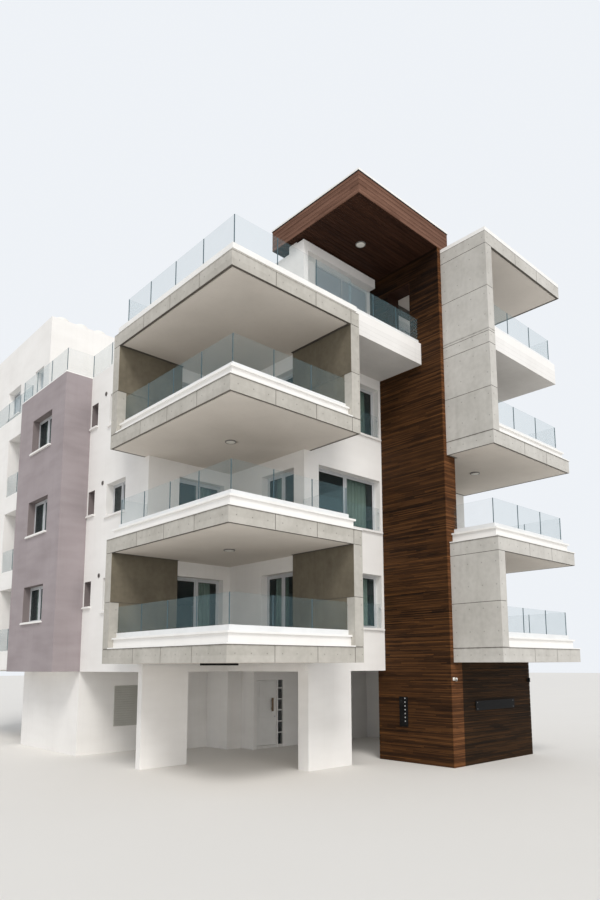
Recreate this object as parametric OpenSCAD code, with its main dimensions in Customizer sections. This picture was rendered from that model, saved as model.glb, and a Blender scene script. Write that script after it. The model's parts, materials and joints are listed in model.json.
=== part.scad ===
// Apartment block on a street corner: four storeys over an open car port.
// Corner balconies wrap round the block as fair-faced concrete box frames,
// and a timber-clad fin rises from the ground and turns over into a canopy.
// X runs along the street front, Y away from the street, Z up. Millimetres.

/* [Levels] */
// Underside of the first balcony band above the ground
first_level = 3000; // [2900:10:3150]
// Height from one balcony band to the next
storey_height = 3150; // [3050:10:3300]
// Height of the concrete band on the edge of a balcony slab
band_height = 410; // [360:10:430]
// Underside of the rendered walls above the ground
wall_base = 2760; // [2650:10:2800]
// Top of the rear rooftop storey above the fourth level
rear_rise = 4720; // [4550:10:5050]

/* [Plan] */
// Length of the left balcony stack along the street
stack_x = 4480; // [4400:10:4540]
// Length of the left balcony stack away from the street
stack_y = 5940; // [5900:10:6000]
// Set-back of the rendered side wall behind the stack
side_x = 1130; // [1050:10:1200]
// Set-back of the rendered front wall behind the stack
front_y = 2020; // [1950:10:2050]
// Right-hand edge of the balconies
block_x = 12510; // [12450:10:12700]
// Back wall of the block
block_y = 20400; // [19800:50:21000]
// Thickness of the rendered walls
wall_t = 350; // [320:10:380]

/* [Balconies] */
// Thickness of the concrete side walls of the box frames
frame_t = 330; // [300:10:350]
// How far the right-hand stack stands in front of the left one
right_out = 2140; // [2000:10:2200]
// Set-back of the white upstand behind the concrete band
upstand_in = 150; // [130:10:160]
// Thickness of the ledge plate on a balcony's edge
ledge_t = 30; // [20:5:50]
// How far the ledge plate stands out of the slab
ledge_out = 25; // [10:5:60]
// Height of the glass above the coping
glass_h = 890; // [800:10:950]
// Thickness of the balcony glass
glass_t = 16; // [12:2:20]
// Width of the open joint between concrete panels
joint_w = 14; // [8:2:20]

/* [Fin and canopy] */
// Left face of the timber fin
fin_x = 7700; // [7660:10:7740]
// Thickness of the timber fin
fin_t = 550; // [520:10:600]
// How far the fin stands in front of the left stack
fin_out = 500; // [450:10:550]
// Underside of the canopy above the fourth level
canopy_rise = 3730; // [3700:10:3850]
// Depth of the canopy fascia
canopy_h = 690; // [600:10:750]
// Left edge of the canopy
canopy_x = 4010; // [3950:10:4100]
// Back edge of the canopy
canopy_y = 3300; // [3200:10:3400]

/* [Rendered bay] */
// How far the bay stands in front of the side wall
bay_out = 950; // [900:10:1000]
// Near side of the bay
bay_y0 = 9840; // [9840:10:9950]
// Far side of the bay
bay_y1 = 13970; // [13900:10:14050]

/* [Windows] */
// Depth of the reveal in front of a window frame
reveal = 240; // [200:5:250]
// Width of the frame members
member = 60; // [50:5:70]
// Depth of the frame members
member_d = 70; // [60:5:80]
// Thickness of the sealed glass
pane_t = 24; // [20:2:28]

/* [Entrance door] */
// Width of the door leaf
leaf_w = 930; // [880:10:950]
// Height of the door leaf
leaf_h = 2300; // [2200:10:2340]
// Thickness of the door leaf
leaf_t = 60; // [50:2:64]
// Gap round the door leaf
leaf_gap = 8; // [6:1:10]

/* [Hidden] */
$fn = 48;

// Storey levels and the heights measured from them
function level(i) = first_level + (i - 1) * storey_height;
floor_rise = 450;
kerb_top = band_height + 260;
slab_t = 300;
head_z = 2770;
// Top of the rendered walls, where the fourth level begins
wall_top = level(4) + floor_rise;
canopy_z = level(4) + canopy_rise;
rear_top = level(4) + rear_rise;

// The back of the recess in the left stack
recess_x = stack_x - 280;
recess_y = stack_y - 280;
// Short loggias behind the bay, and the closed rear bay beyond them
loggia_x = side_x + 870;
loggia_edge = 500;
loggia_y1 = 16200;
// The main walls stop a little short of the balcony edge on the right
wall_x1 = block_x - 60;
bay_x = side_x - bay_out;
fin_x1 = fin_x + fin_t;
right_x = fin_x + 140;
right_y = -right_out;
sill_out = 65;

// Centre of the block's bounding box in plan
mid_x = block_x / 2;
mid_y = (block_y + sill_out + right_y - ledge_out) / 2;

// Colours
concrete = [0.72, 0.70, 0.67];
white = [0.94, 0.93, 0.91];
taupe = [0.60, 0.56, 0.56];
timber = [0.30, 0.16, 0.10];
glass = [0.70, 0.84, 0.86, 0.35];
alu = [0.78, 0.80, 0.82];
dark = [0.10, 0.10, 0.11];
brass = [0.55, 0.38, 0.20];

module placed() {
    translate([-mid_x, -mid_y, 0]) children();
}

module box(x0, x1, y0, y1, z0, z1) {
    translate([x0, y0, z0]) cube([x1 - x0, y1 - y0, z1 - z0]);
}

// A box given along a wall: u runs along it, d inwards from its outer face
module wall_box(side, plane, u0, u1, d0, d1, z0, z1) {
    if (side == "front") box(u0, u1, plane + d0, plane + d1, z0, z1);
    if (side == "left") box(plane + d0, plane + d1, u0, u1, z0, z1);
    if (side == "rear") box(u0, u1, plane - d1, plane - d0, z0, z1);
    if (side == "right") box(plane - d1, plane - d0, u0, u1, z0, z1);
}

module slab(outline, z0, z1) {
    translate([0, 0, z0]) linear_extrude(z1 - z0) polygon(outline);
}

// Plan outlines
left_plan = [
    [0, 0], [stack_x, 0], [stack_x, front_y], [recess_x, front_y],
    [recess_x, recess_y], [side_x, recess_y], [side_x, stack_y], [0, stack_y]
];

function right_plan(inset, back) = [
    [right_x + inset, right_y + inset], [block_x - inset, right_y + inset],
    [block_x - inset, back], [fin_x1, back], [fin_x1, -fin_out],
    [right_x + inset, -fin_out]
];

// Inner faces of the rendered walls, which the floors fill
inside_plan = [
    [side_x + wall_t, recess_y + wall_t], [recess_x + wall_t, recess_y + wall_t],
    [recess_x + wall_t, front_y + wall_t], [wall_x1 - wall_t, front_y + wall_t],
    [wall_x1 - wall_t, block_y - wall_t], [loggia_edge + wall_t, block_y - wall_t],
    [loggia_edge + wall_t, loggia_y1 + wall_t], [loggia_x + wall_t, loggia_y1 + wall_t],
    [loggia_x + wall_t, bay_y1 - wall_t], [bay_x + wall_t, bay_y1 - wall_t],
    [bay_x + wall_t, bay_y0 + wall_t], [side_x + wall_t, bay_y0 + wall_t]
];

// Windows and doors in the upper storeys:
// side, wall plane, from, to, sill, head, number of sashes
front_window = ["front", front_y, 4800, fin_x - 100, 1070, 2800, 2];
deep_window = ["left", side_x, 9280, 9760, 1900, head_z, 1];
white_window = ["left", side_x, 7110, 8400, 1680, 2790, 2];
bay_window = ["left", bay_x, 10950, 12700, 1470, head_z, 2];
right_window_1 = ["right", wall_x1, front_y + 3180, front_y + 4780, 1070, head_z, 2];
right_window_2 = ["right", wall_x1, 9600, 10600, 1470, head_z, 1];
right_window_3 = ["right", wall_x1, block_y - 6600, block_y - 5000, 1070, head_z, 2];
rear_window_1 = ["rear", block_y, 3400, 5000, 1070, head_z, 2];
rear_window_2 = ["rear", block_y, 6700, 7700, 1470, head_z, 1];
rear_window_3 = ["rear", block_y, block_x - 3110, block_x - 1510, 1070, head_z, 2];
windows = [
    front_window, deep_window, white_window, bay_window, right_window_1,
    right_window_2, right_window_3, rear_window_1, rear_window_2, rear_window_3
];

recess_door_1 = ["front", recess_y, 2220, 3950, floor_rise, 2690, 2];
recess_door_2 = ["left", recess_x, 2480, 4000, floor_rise, 2690, 2];
right_door = ["front", front_y, fin_x1 + 550, block_x - 610, floor_rise, 2690, 3];
loggia_door = ["left", loggia_x, 14300, 15900, floor_rise, 2690, 2];
balcony_doors = [recess_door_1, recess_door_2, right_door, loggia_door];

// Openings of the rooftop storey, measured from the fourth level
pent_x = 4250;
pent_y = 2400;
pent_top = level(4) + 3480;
rear_y = bay_y1 - 70;
// Underside of the white frame under the canopy, above the fourth level
portal_rise = canopy_rise - 370;
// These doors stand flush with the wall, so their reveal is in front of it
terrace_door = ["front", pent_y - reveal, 5050, 7530, floor_rise, portal_rise, 2];
terrace_door_2 = ["front", pent_y, fin_x1 + 550, block_x - 610, floor_rise, 2980, 3];
roof_door = ["left", side_x, 14480, 15380, floor_rise, head_z, 1];
roof_window = ["left", side_x, 17000, 18480, 1470, head_z, 2];
roof_openings = [terrace_door, terrace_door_2, roof_door, roof_window];

// The hole that a window or door needs through its wall
module hole(w, z) {
    wall_box(w[0], w[1], w[2], w[3], -1, wall_t + 1, z + w[4], z + w[5]);
}

// A frame of members with one light for each sash
module frame(w, z) {
    z0 = z + w[4];
    z1 = z + w[5];
    step = (w[3] - w[2] - member) / w[6];
    difference() {
        wall_box(w[0], w[1], w[2], w[3], reveal, reveal + member_d, z0, z1);
        for (k = [0 : w[6] - 1]) {
            u = w[2] + member + k * step;
            wall_box(w[0], w[1], u, u + step - member,
                reveal - 1, reveal + member_d + 1, z0 + member, z1 - member);
        }
    }
}

module panes(w, z) {
    z0 = z + w[4] + member;
    z1 = z + w[5] - member;
    step = (w[3] - w[2] - member) / w[6];
    d = reveal + (member_d - pane_t) / 2;
    for (k = [0 : w[6] - 1]) {
        u = w[2] + member + k * step;
        wall_box(w[0], w[1], u, u + step - member, d, d + pane_t, z0, z1);
    }
}

// A sill that lines the reveal and stands out of the wall past both jambs
module sill(w, z) {
    wall_box(w[0], w[1], w[2] - 50, w[3] + 50, -sill_out, 0, z + w[4] - 45, z + w[4]);
    wall_box(w[0], w[1], w[2], w[3], -sill_out, reveal, z + w[4], z + w[4] + 20);
}

// Fair-faced concrete

// Open joints on the faces of a concrete side wall
module wall_joint(x0, x1, y0, y1, z) {
    difference() {
        box(x0 - 1, x1 + 1, y0 - 1, y1 + 1, z - joint_w / 2, z + joint_w / 2);
        box(x0 + joint_w, x1 - joint_w, y0 + joint_w, y1 - joint_w,
            z - joint_w, z + joint_w);
    }
}

// Upright joints between the panels of a band
module band_joint(side, plane, u, z) {
    wall_box(side, plane, u - joint_w / 2, u + joint_w / 2, -1, joint_w,
        z - 1, z + band_height + 1);
}

soffit_in = 60;
soffit_gap = 25;
soffit_t = 25;

// The soffit of a left-hand slab, inset by e from the panels. Between side
// walls it stops at their inner faces.
function left_soffit(e, walled) = let (
    x1 = walled ? stack_x - frame_t - e : stack_x - e,
    y1 = walled ? stack_y - frame_t - e : stack_y - e
) [
    [e, e], [x1, e], [x1, front_y - e], [recess_x - e, front_y - e],
    [recess_x - e, recess_y - e], [side_x - e, recess_y - e],
    [side_x - e, y1], [e, y1]
];

function left_soffit_walled(e) = [
    [e, e], [stack_x - frame_t - e, e],
    [stack_x - frame_t - e, stack_y - frame_t - e], [e, stack_y - frame_t - e]
];

module left_side_walls(z0, z1) {
    box(0, side_x, stack_y - frame_t, stack_y, z0, z1);
    box(side_x, recess_door_1[2] - 20, stack_y - frame_t, recess_y, z0, z1);
    box(stack_x - frame_t, stack_x, 0, front_y, z0, z1);
    box(stack_x - frame_t, recess_x, front_y, recess_door_2[2] - 10, z0, z1);
}

// A box frame of two slabs and the two side walls between them
module left_box(low) {
    z0 = level(low);
    z1 = level(low + 1);
    difference() {
        union() {
            slab(left_plan, z0, z0 + band_height);
            slab(left_plan, z1, z1 + band_height);
            left_side_walls(z0 + band_height, z1);
        }
        slab(left_soffit(soffit_in, false), z0 - 1, z0 + soffit_t);
        slab(left_soffit_walled(soffit_in), z1 - 1, z1 + soffit_t);
        for (z = [z0, z1]) {
            for (x = [1395, 2790, 4150]) band_joint("front", 0, x, z);
            for (y = [1385, 2785, 4190]) band_joint("left", 0, y, z);
        }
        for (z = [z0 + band_height, z0 + 1730, z1]) {
            wall_joint(0, side_x, stack_y - frame_t, stack_y, z);
            wall_joint(stack_x - frame_t, stack_x, 0, front_y, z);
        }
    }
}

module left_lower_box() {
    color(concrete) placed() left_box(1);
}

module left_upper_box() {
    color(concrete) placed() left_box(3);
}

function right_soffit(e) = [
    [right_x + frame_t + e, right_y + e], [block_x - e, right_y + e],
    [block_x - e, front_y - e], [fin_x1 + e, front_y - e],
    [fin_x1 + e, -fin_out - e], [right_x + frame_t + e, -fin_out - e]
];

function right_soffit_open(e) = [
    [right_x + e, right_y + e], [block_x - e, right_y + e],
    [block_x - e, front_y - e], [fin_x1 + e, front_y - e],
    [fin_x1 + e, -fin_out - e], [right_x + e, -fin_out - e]
];

module right_band_joints(z) {
    for (x = [9600, 10970]) band_joint("front", right_y, x, z);
}

// The lower right frame: two slabs and one side wall beside the fin
module right_lower_box() {
    color(concrete) placed() difference() {
        union() {
            for (i = [1, 2])
                slab(right_plan(0, front_y), level(i), level(i) + band_height);
            box(right_x, right_x + frame_t, right_y, -fin_out, level(1), level(2));
        }
        slab(right_soffit_open(soffit_in), level(1) - 1, level(1) + soffit_t);
        slab(right_soffit(soffit_in), level(2) - 1, level(2) + soffit_t);
        for (i = [1, 2]) right_band_joints(level(i));
        for (z = [level(1) + band_height, level(1) + 1710, level(2)])
            wall_joint(right_x, right_x + frame_t, right_y, -fin_out, z);
    }
}

// The upper right frame runs past the terrace up to its own roof
module right_upper_box() {
    color(concrete) placed() difference() {
        union() {
            slab(right_plan(0, front_y), level(3), level(3) + band_height);
            slab(right_plan(0, pent_y), level(5), level(5) + band_height);
            box(right_x, right_x + frame_t, right_y, -fin_out, level(3), level(5));
        }
        slab(right_soffit_open(soffit_in), level(3) - 1, level(3) + soffit_t);
        slab(right_soffit(soffit_in), level(5) - 1, level(5) + soffit_t);
        for (i = [3, 5]) right_band_joints(level(i));
        for (z = [level(3) + band_height, level(3) + 1750, level(4) - 50,
            level(4) + 320, level(4) + 1770, level(5)])
            wall_joint(right_x, right_x + frame_t, right_y, -fin_out, z);
    }
}

// Rendered plates that line the undersides of the box frames
module soffit_panels() {
    e = soffit_in + soffit_gap;
    color(white) placed() {
        for (i = [1, 3]) slab(left_soffit(e, false), level(i), level(i) + soffit_t);
        for (i = [2, 4]) slab(left_soffit_walled(e), level(i), level(i) + soffit_t);
        for (i = [1, 3]) slab(right_soffit_open(e), level(i), level(i) + soffit_t);
        for (i = [2, 5]) slab(right_soffit(e), level(i), level(i) + soffit_t);
    }
}

// Railings

// A railing is an upstand, a coping, a shoe and the glass, in that order, and
// on a balcony the thin ledge plate that covers the slab before the upstand.
// Each is given by its near and far face from the edge and its bottom and top
// from the level.
coping_top = kerb_top + 50;
shoe_in = upstand_in + 90;
pane_0 = upstand_in + 130 - glass_t / 2;
pane_1 = pane_0 + glass_t;
balcony_rail = [
    [upstand_in, upstand_in + 150, band_height, kerb_top],
    [upstand_in - 50, upstand_in + 180, kerb_top, coping_top],
    [shoe_in, shoe_in + 80, coping_top, coping_top + 140],
    [pane_0, pane_1, coping_top + 60, coping_top + glass_h],
    [-ledge_out, upstand_in - 3, band_height, band_height + ledge_t]
];
// On the roof of the left stack a deep coping overhangs a low upstand
roof_rail = [
    [upstand_in, upstand_in + 150, band_height, kerb_top - 150],
    [upstand_in - 70, upstand_in + 180, kerb_top - 150, kerb_top],
    [shoe_in, shoe_in + 80, kerb_top, kerb_top + 70],
    [pane_0, pane_1, kerb_top + 20, coping_top + glass_h]
];
// Round the terraces upstand and coping are flush with the slab below
flush_rail = [
    [upstand_in, upstand_in + 150, floor_rise, kerb_top],
    [upstand_in, upstand_in + 180, kerb_top, coping_top],
    balcony_rail[2],
    balcony_rail[3]
];
// Along the walls the glass stands in a slot of the coping, near the face
edge_in = 40;
edge_0 = edge_in - glass_t / 2;
edge_1 = edge_in + glass_t / 2;
edge_rail = [
    [0, wall_t, floor_rise, kerb_top],
    [0, wall_t, kerb_top, kerb_top + 40],
    undef,
    [edge_0, edge_1, kerb_top + 10, kerb_top + glass_h]
];
bay_rail = [undef, edge_rail[1], undef, edge_rail[3]];
loggia_rail = [
    [0, 150, floor_rise, 500],
    [0, 200, 500, 540],
    undef,
    [edge_0, edge_1, 510, 1400]
];
roof_capping = [undef, [0, 200, band_height, band_height + 120], undef, undef];

// A run stops plain (0). At an outer corner it runs through (1) or meets the
// run that does (2), at an inner corner likewise (3 and 4).
joint_gap = 3;
glass_gap = 12;
function trim(how, layer, gap) = how == 0 ? 0
    : how == 1 ? layer[0]
    : how == 2 ? layer[1] + gap
    : how == 3 ? -layer[1]
    : gap - layer[0];

module layer_run(run, z, layer) {
    u0 = run[2] + trim(run[4], layer, joint_gap);
    u1 = run[3] - trim(run[5], layer, joint_gap);
    wall_box(run[0], run[1], u0, u1, layer[0], layer[1], z + layer[2], z + layer[3]);
}

// Glass in equal sheets with open joints between them
module glass_run(run, z, layer) {
    u0 = run[2] + trim(run[4], layer, glass_gap);
    u1 = run[3] - trim(run[5], layer, glass_gap);
    n = max(1, round((u1 - u0) / 1250));
    step = floor((u1 - u0 + glass_gap) / n);
    for (k = [0 : n - 1])
        wall_box(run[0], run[1], u0 + k * step, u0 + (k + 1) * step - glass_gap,
            layer[0], layer[1], z + layer[2], z + layer[3]);
}

// The slot that holds the glass of a run. At a corner it goes on to the slot
// of the other run.
function slot_trim(how, layer) = how == 0 ? -1
    : how == 2 ? layer[0]
    : trim(how, layer, 0);

module slot_run(run, z, layer) {
    u0 = run[2] + slot_trim(run[4], layer);
    u1 = run[3] - slot_trim(run[5], layer);
    wall_box(run[0], run[1], u0, u1, layer[0], layer[1], z + layer[2], z + layer[2] + 200);
}

// Runs: side, plane, from, to, near end, far end
left_front = ["front", 0, 0, stack_x - frame_t, 1, 0];
left_side = ["left", 0, 0, stack_y - frame_t, 2, 0];
open_x = stack_x - 30;
open_front = ["front", 0, 0, open_x, 1, 1];
open_side = ["left", 0, 0, stack_y, 2, 1];
open_right = ["right", open_x, 0, front_y, 2, 0];
open_rear = ["rear", stack_y, 0, side_x, 2, 0];
wall_in = right_x + frame_t;
right_front = ["front", right_y, wall_in, block_x, 0, 1];
right_right = ["right", block_x, right_y, front_y, 2, 0];
right_open = ["front", right_y, right_x, block_x, 1, 1];
right_left = ["left", right_x, right_y, -fin_out, 2, 0];
// On the fourth level
roof_front = ["front", 0, 0, stack_x, 1, 0];
roof_side = ["left", 0, 0, stack_y, 2, 1];
roof_rear = ["rear", stack_y, 0, side_x - joint_gap, 2, 0];
terrace_y = 260;
terrace_front = ["front", terrace_y - upstand_in, stack_x + joint_gap, fin_x, 0, 0];
edge_side = ["left", side_x, stack_y - 260, bay_y0, 0, 4];
bay_front = ["front", bay_y0, bay_x, side_x, 1, 3];
bay_side = ["left", bay_x, bay_y0, bay_y1, 2, 1];
bay_rear = ["rear", bay_y1, bay_x, loggia_edge, 2, 3];
rear_side = ["left", loggia_edge, bay_y1, block_y, 4, 1];
rear_end = ["rear", block_y, loggia_edge, side_x, 2, 0];
deck_x = block_x - 200;
deck_y = right_y + 200;
deck_front = ["front", deck_y - upstand_in, wall_in, deck_x + upstand_in, 0, 1];
deck_right = ["right", deck_x + upstand_in, deck_y - upstand_in, pent_y, 2, 0];
// The loggias, and the roof of the right stack
loggia_side = ["left", loggia_edge, bay_y1, loggia_y1, 0, 0];
capping_right = ["right", block_x, right_y, pent_y, 2, 0];

// Railings: run, level, layers
left_rails = [
    for (i = [1, 3], run = [left_front, left_side]) [run, i, balcony_rail],
    for (run = [open_front, open_side, open_right, open_rear]) [run, 2, balcony_rail]
];
right_rails = [
    for (i = [1, 3], run = [right_front, right_right]) [run, i, balcony_rail],
    for (run = [right_open, right_right, right_left]) [run, 2, balcony_rail],
    for (run = [deck_front, deck_right]) [run, 4, flush_rail]
];
terrace_rails = [
    for (run = [roof_front, roof_side, roof_rear]) [run, 4, roof_rail],
    [terrace_front, 4, flush_rail],
    [edge_side, 4, edge_rail],
    for (run = [bay_front, bay_side, bay_rear]) [run, 4, bay_rail],
    for (run = [rear_side, rear_end]) [run, 4, edge_rail]
];
loggia_rails = [for (i = [1 : 3]) [loggia_side, i, loggia_rail]];
cappings = [for (run = [right_open, capping_right, right_left]) [run, 5, roof_capping]];
rails = concat(left_rails, right_rails, terrace_rails, loggia_rails, cappings);

module rail_layer(k) {
    for (r = rails)
        if (r[2][k] != undef) layer_run(r[0], level(r[1]), r[2][k]);
}

module rail_slots() {
    for (r = rails)
        if (r[2][3] != undef) slot_run(r[0], level(r[1]), r[2][3]);
}

module rail_glass(list) {
    for (r = list) glass_run(r[0], level(r[1]), r[2][3]);
}

module balcony_upstands() {
    color(white) placed() rail_layer(0);
}

module balcony_copings() {
    color(white) placed() {
        difference() {
            rail_layer(1);
            rail_slots();
        }
        rail_layer(4);
    }
}

module rail_shoes() {
    color(alu) placed() difference() {
        rail_layer(2);
        rail_slots();
    }
}

module left_balcony_glass() {
    color(glass) placed() rail_glass(concat(left_rails, loggia_rails));
}

module right_balcony_glass() {
    color(glass) placed() rail_glass(right_rails);
}

module terrace_glass() {
    color(glass) placed() rail_glass(terrace_rails);
}

// Rendered walls of the three storeys, each one straight plate
module storey_wall(side, plane, u0, u1) {
    difference() {
        wall_box(side, plane, u0, u1, 0, wall_t, wall_base, wall_top);
        for (i = [1 : 3], w = concat(windows, balcony_doors))
            if (w[0] == side && w[1] == plane) hole(w, level(i));
    }
}

module front_wall() {
    color(white) placed() storey_wall("front", front_y, recess_x, wall_x1);
}

module recess_side_wall() {
    color(white) placed() storey_wall("left", recess_x, front_y + wall_t, recess_y);
}

module recess_rear_wall() {
    color(white) placed() storey_wall("front", recess_y, side_x, recess_x + wall_t);
}

module side_walls() {
    color(white) placed() {
        storey_wall("left", side_x, recess_y + wall_t, bay_y0 + wall_t);
        storey_wall("left", loggia_edge, loggia_y1 + wall_t, block_y);
    }
}

module loggia_walls() {
    color(white) placed() {
        storey_wall("left", loggia_x, bay_y1, loggia_y1 + wall_t);
        storey_wall("front", loggia_y1, loggia_edge, loggia_x);
    }
}

module rear_wall() {
    color(white) placed()
        storey_wall("rear", block_y, loggia_edge + wall_t, wall_x1);
}

module right_wall() {
    color(white) placed()
        storey_wall("right", wall_x1, front_y + wall_t, block_y - wall_t);
}

// The bay is three walls that open into the rooms behind, and their parapet
module bay_walls() {
    top = level(4) + kerb_top;
    color(taupe) placed() difference() {
        union() {
            box(bay_x, side_x, bay_y0, bay_y1, wall_base, top);
            box(side_x, loggia_x + wall_t, bay_y1 - wall_t, bay_y1, wall_base, wall_top);
            box(side_x, side_x + wall_t, bay_y0, bay_y0 + wall_t, wall_top, top);
        }
        box(bay_x + wall_t, side_x + 1, bay_y0 + wall_t, bay_y1 - wall_t,
            wall_base - 1, top + 1);
        for (i = [1 : 3]) hole(bay_window, level(i));
    }
}

// The first floor hides the lined ceiling of the car port
module floor_slabs() {
    color(white) placed() {
        slab(inside_plan, wall_base, level(1) + floor_rise);
        for (i = [2, 3])
            slab(inside_plan, level(i) + floor_rise - slab_t, level(i) + floor_rise);
    }
}

// The roof slab carries the terrace and the rooftop storey
module roof_slab() {
    color(white) placed() slab(inside_plan, wall_top - slab_t, wall_top);
}

// White edges of the terrace, left and right of the fin
module terrace_slabs() {
    color(white) placed() {
        box(stack_x, fin_x, terrace_y, front_y, level(4), wall_top);
        slab([[wall_in, deck_y], [deck_x, deck_y], [deck_x, front_y],
            [fin_x1, front_y], [fin_x1, -fin_out], [wall_in, -fin_out]],
            level(4), wall_top);
    }
}

// White slabs of the loggias behind the bay
module loggia_slabs() {
    color(white) placed()
        for (i = [1 : 4])
            box(loggia_edge, loggia_x, bay_y1, loggia_y1,
                level(i) - 180, level(i) + floor_rise);
}

// Fin, canopy and sign wall

fin_door_y0 = 660;
fin_door_y1 = 1600;
fin_door_h = 3000;

module timber_fin() {
    color(timber) placed() difference() {
        union() {
            box(fin_x, fin_x1, -fin_out, front_y + 300, 0, wall_base);
            box(fin_x, fin_x1, -fin_out, front_y, wall_base, level(4) + floor_rise);
            box(fin_x, fin_x1, -fin_out, pent_y, level(4) + floor_rise, canopy_z);
        }
        box(fin_x - 1, fin_x1 + 1, fin_door_y0, fin_door_y1,
            level(4) + floor_rise, level(4) + fin_door_h);
    }
}

fascia_t = 60;

// The canopy is a tray: a boarded soffit with a fascia all round
module timber_canopy() {
    z1 = canopy_z + canopy_h;
    color(timber) placed() difference() {
        box(canopy_x, fin_x1, -fin_out, canopy_y, canopy_z, z1);
        box(canopy_x + fascia_t, fin_x1 - fascia_t, -fin_out + fascia_t,
            canopy_y - fascia_t, canopy_z + fascia_t, z1 + 1);
    }
}

module canopy_roof() {
    z1 = canopy_z + canopy_h;
    color(white) placed() {
        box(canopy_x - 20, fin_x1 + 20, -fin_out - 20, canopy_y + 20, z1, z1 + 60);
    }
}

sign_x1 = block_x - 360;

module sign_wall() {
    color(timber) placed()
        box(fin_x1, sign_x1, -fin_out, -fin_out + 200, 0, level(1));
}

module sign_plaque() {
    color(dark) placed()
        box(8860, 11080, -fin_out - 30, -fin_out, 1560, 1850);
}

module intercom_panel() {
    color(dark) placed() {
        box(fin_x - 30, fin_x, 1140, 1460, 1060, 1960);
    }
}

lamp_d = 320;
lamp_h = 45;

module round_lamp(x, y, z) {
    translate([x, y, z - lamp_h]) cylinder(h = lamp_h, d = lamp_d);
}

// Round lights under the slabs and the canopy, and a long one in the car port
module ceiling_lamps() {
    color(alu) placed() {
        for (i = [2, 3]) round_lamp(2200, 2950, level(i));
        round_lamp(canopy_x + 1790, 1080, canopy_z);
        round_lamp(10130, 0, level(3));
        box(1330, 2530, 2890, 3010, level(1) - 60, level(1));
    }
}

// Rooftop storey

portal_x0 = 4240;
portal_x1 = 7580;
portal_y = 2050;
portal_top = canopy_z - 60;

module penthouse_walls() {
    z0 = level(4) + floor_rise;
    color(white) placed() {
        difference() {
            union() {
                box(pent_x, wall_x1, pent_y, rear_y, z0, pent_top);
                box(side_x, wall_x1, rear_y, block_y, z0, rear_top);
            }
            box(pent_x + wall_t, wall_x1 - wall_t, pent_y + wall_t, rear_y + 1,
                z0 - 1, pent_top + 1);
            box(side_x + wall_t, wall_x1 - wall_t, rear_y + wall_t,
                block_y - wall_t, z0 - 1, rear_top + 1);
            box(pent_x + wall_t, wall_x1 - wall_t, rear_y, rear_y + wall_t + 1,
                z0 - 1, pent_top - slab_t);
            for (w = roof_openings) hole(w, level(4));
            wall_box("front", pent_y, terrace_door[2], terrace_door[3], -1, wall_t + 1,
                z0, level(4) + portal_rise);
        }
        // The white frame in front of the terrace doors
        box(portal_x0, portal_x0 + 180, portal_y, pent_y, z0, portal_top);
        box(portal_x0, portal_x1, portal_y, pent_y, level(4) + portal_rise, portal_top);
        box(pent_x, fin_x, pent_y, pent_y + wall_t, pent_top, canopy_z);
    }
}

module penthouse_roof() {
    color(white) placed() {
        box(pent_x + wall_t, wall_x1 - wall_t, pent_y + wall_t, rear_y,
            pent_top - slab_t, pent_top);
        box(side_x + wall_t, wall_x1 - wall_t, rear_y + wall_t, block_y - wall_t,
            deck_z - slab_t, deck_z);
    }
}

tank_d = 780;
tank_l = 1200;
deck_z = rear_top - 600;

// Three lying tanks, each on two cradles
module roof_tanks() {
    z = rear_top + 510 - tank_d / 2;
    y = rear_y + wall_t + 280;
    color(white) placed()
        for (k = [0 : 2]) {
            x = side_x + wall_t + tank_d / 2 + 10 + k * 840;
            translate([x, y, z]) rotate([-90, 0, 0]) cylinder(h = tank_l, d = tank_d);
            for (s = [150, tank_l - 230]) box(x - 250, x + 250, y + s, y + s + 80, deck_z, z - 200);
        }
}

// Ground floor

lobby_x0 = 6310;
lobby_x1 = 9500;
lobby_y0 = 7000;
lobby_y1 = 12000;
lobby_t = 150;
// The lobby widens to the left behind its door in two steps
step_x0 = lobby_x0 - 2010;
step_x1 = lobby_x0 - 630;
step_y0 = lobby_y0 + 700;
step_y1 = lobby_y0 + 1970;

lobby_outer = [
    [lobby_x0, lobby_y0], [lobby_x1, lobby_y0], [lobby_x1, lobby_y1],
    [step_x0, lobby_y1], [step_x0, step_y1], [step_x1, step_y1],
    [step_x1, step_y0], [lobby_x0, step_y0]
];

lobby_inner = [
    [lobby_x0 + lobby_t, lobby_y0 + lobby_t], [lobby_x1 - lobby_t, lobby_y0 + lobby_t],
    [lobby_x1 - lobby_t, lobby_y1 - lobby_t], [step_x0 + lobby_t, lobby_y1 - lobby_t],
    [step_x0 + lobby_t, step_y1 + lobby_t], [step_x1 + lobby_t, step_y1 + lobby_t],
    [step_x1 + lobby_t, step_y0 + lobby_t], [lobby_x0 + lobby_t, step_y0 + lobby_t]
];

lobby_floor_t = 100;
door_x0 = lobby_x0 + lobby_t;
door_x1 = door_x0 + leaf_w + 2 * leaf_gap;
light_x0 = door_x1 + 50;
light_x1 = light_x0 + 240;
door_z0 = lobby_floor_t;
door_z1 = door_z0 + leaf_h + 2 * leaf_gap;
// Faces of the wall that holds the door
front_0 = lobby_y0;
front_1 = lobby_y0 + lobby_t;

// Two broad piers carry the front, square columns the right side and the rear
pier_x0 = stack_x - 140;
pier_x1 = pier_x0 + 1760;
pier_t = 430;
side_pier_l = 1570;
column = 400;
right_columns = [4200, 9200, 14200];
rear_columns = [3000, 7200, wall_x1 - column];

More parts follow.
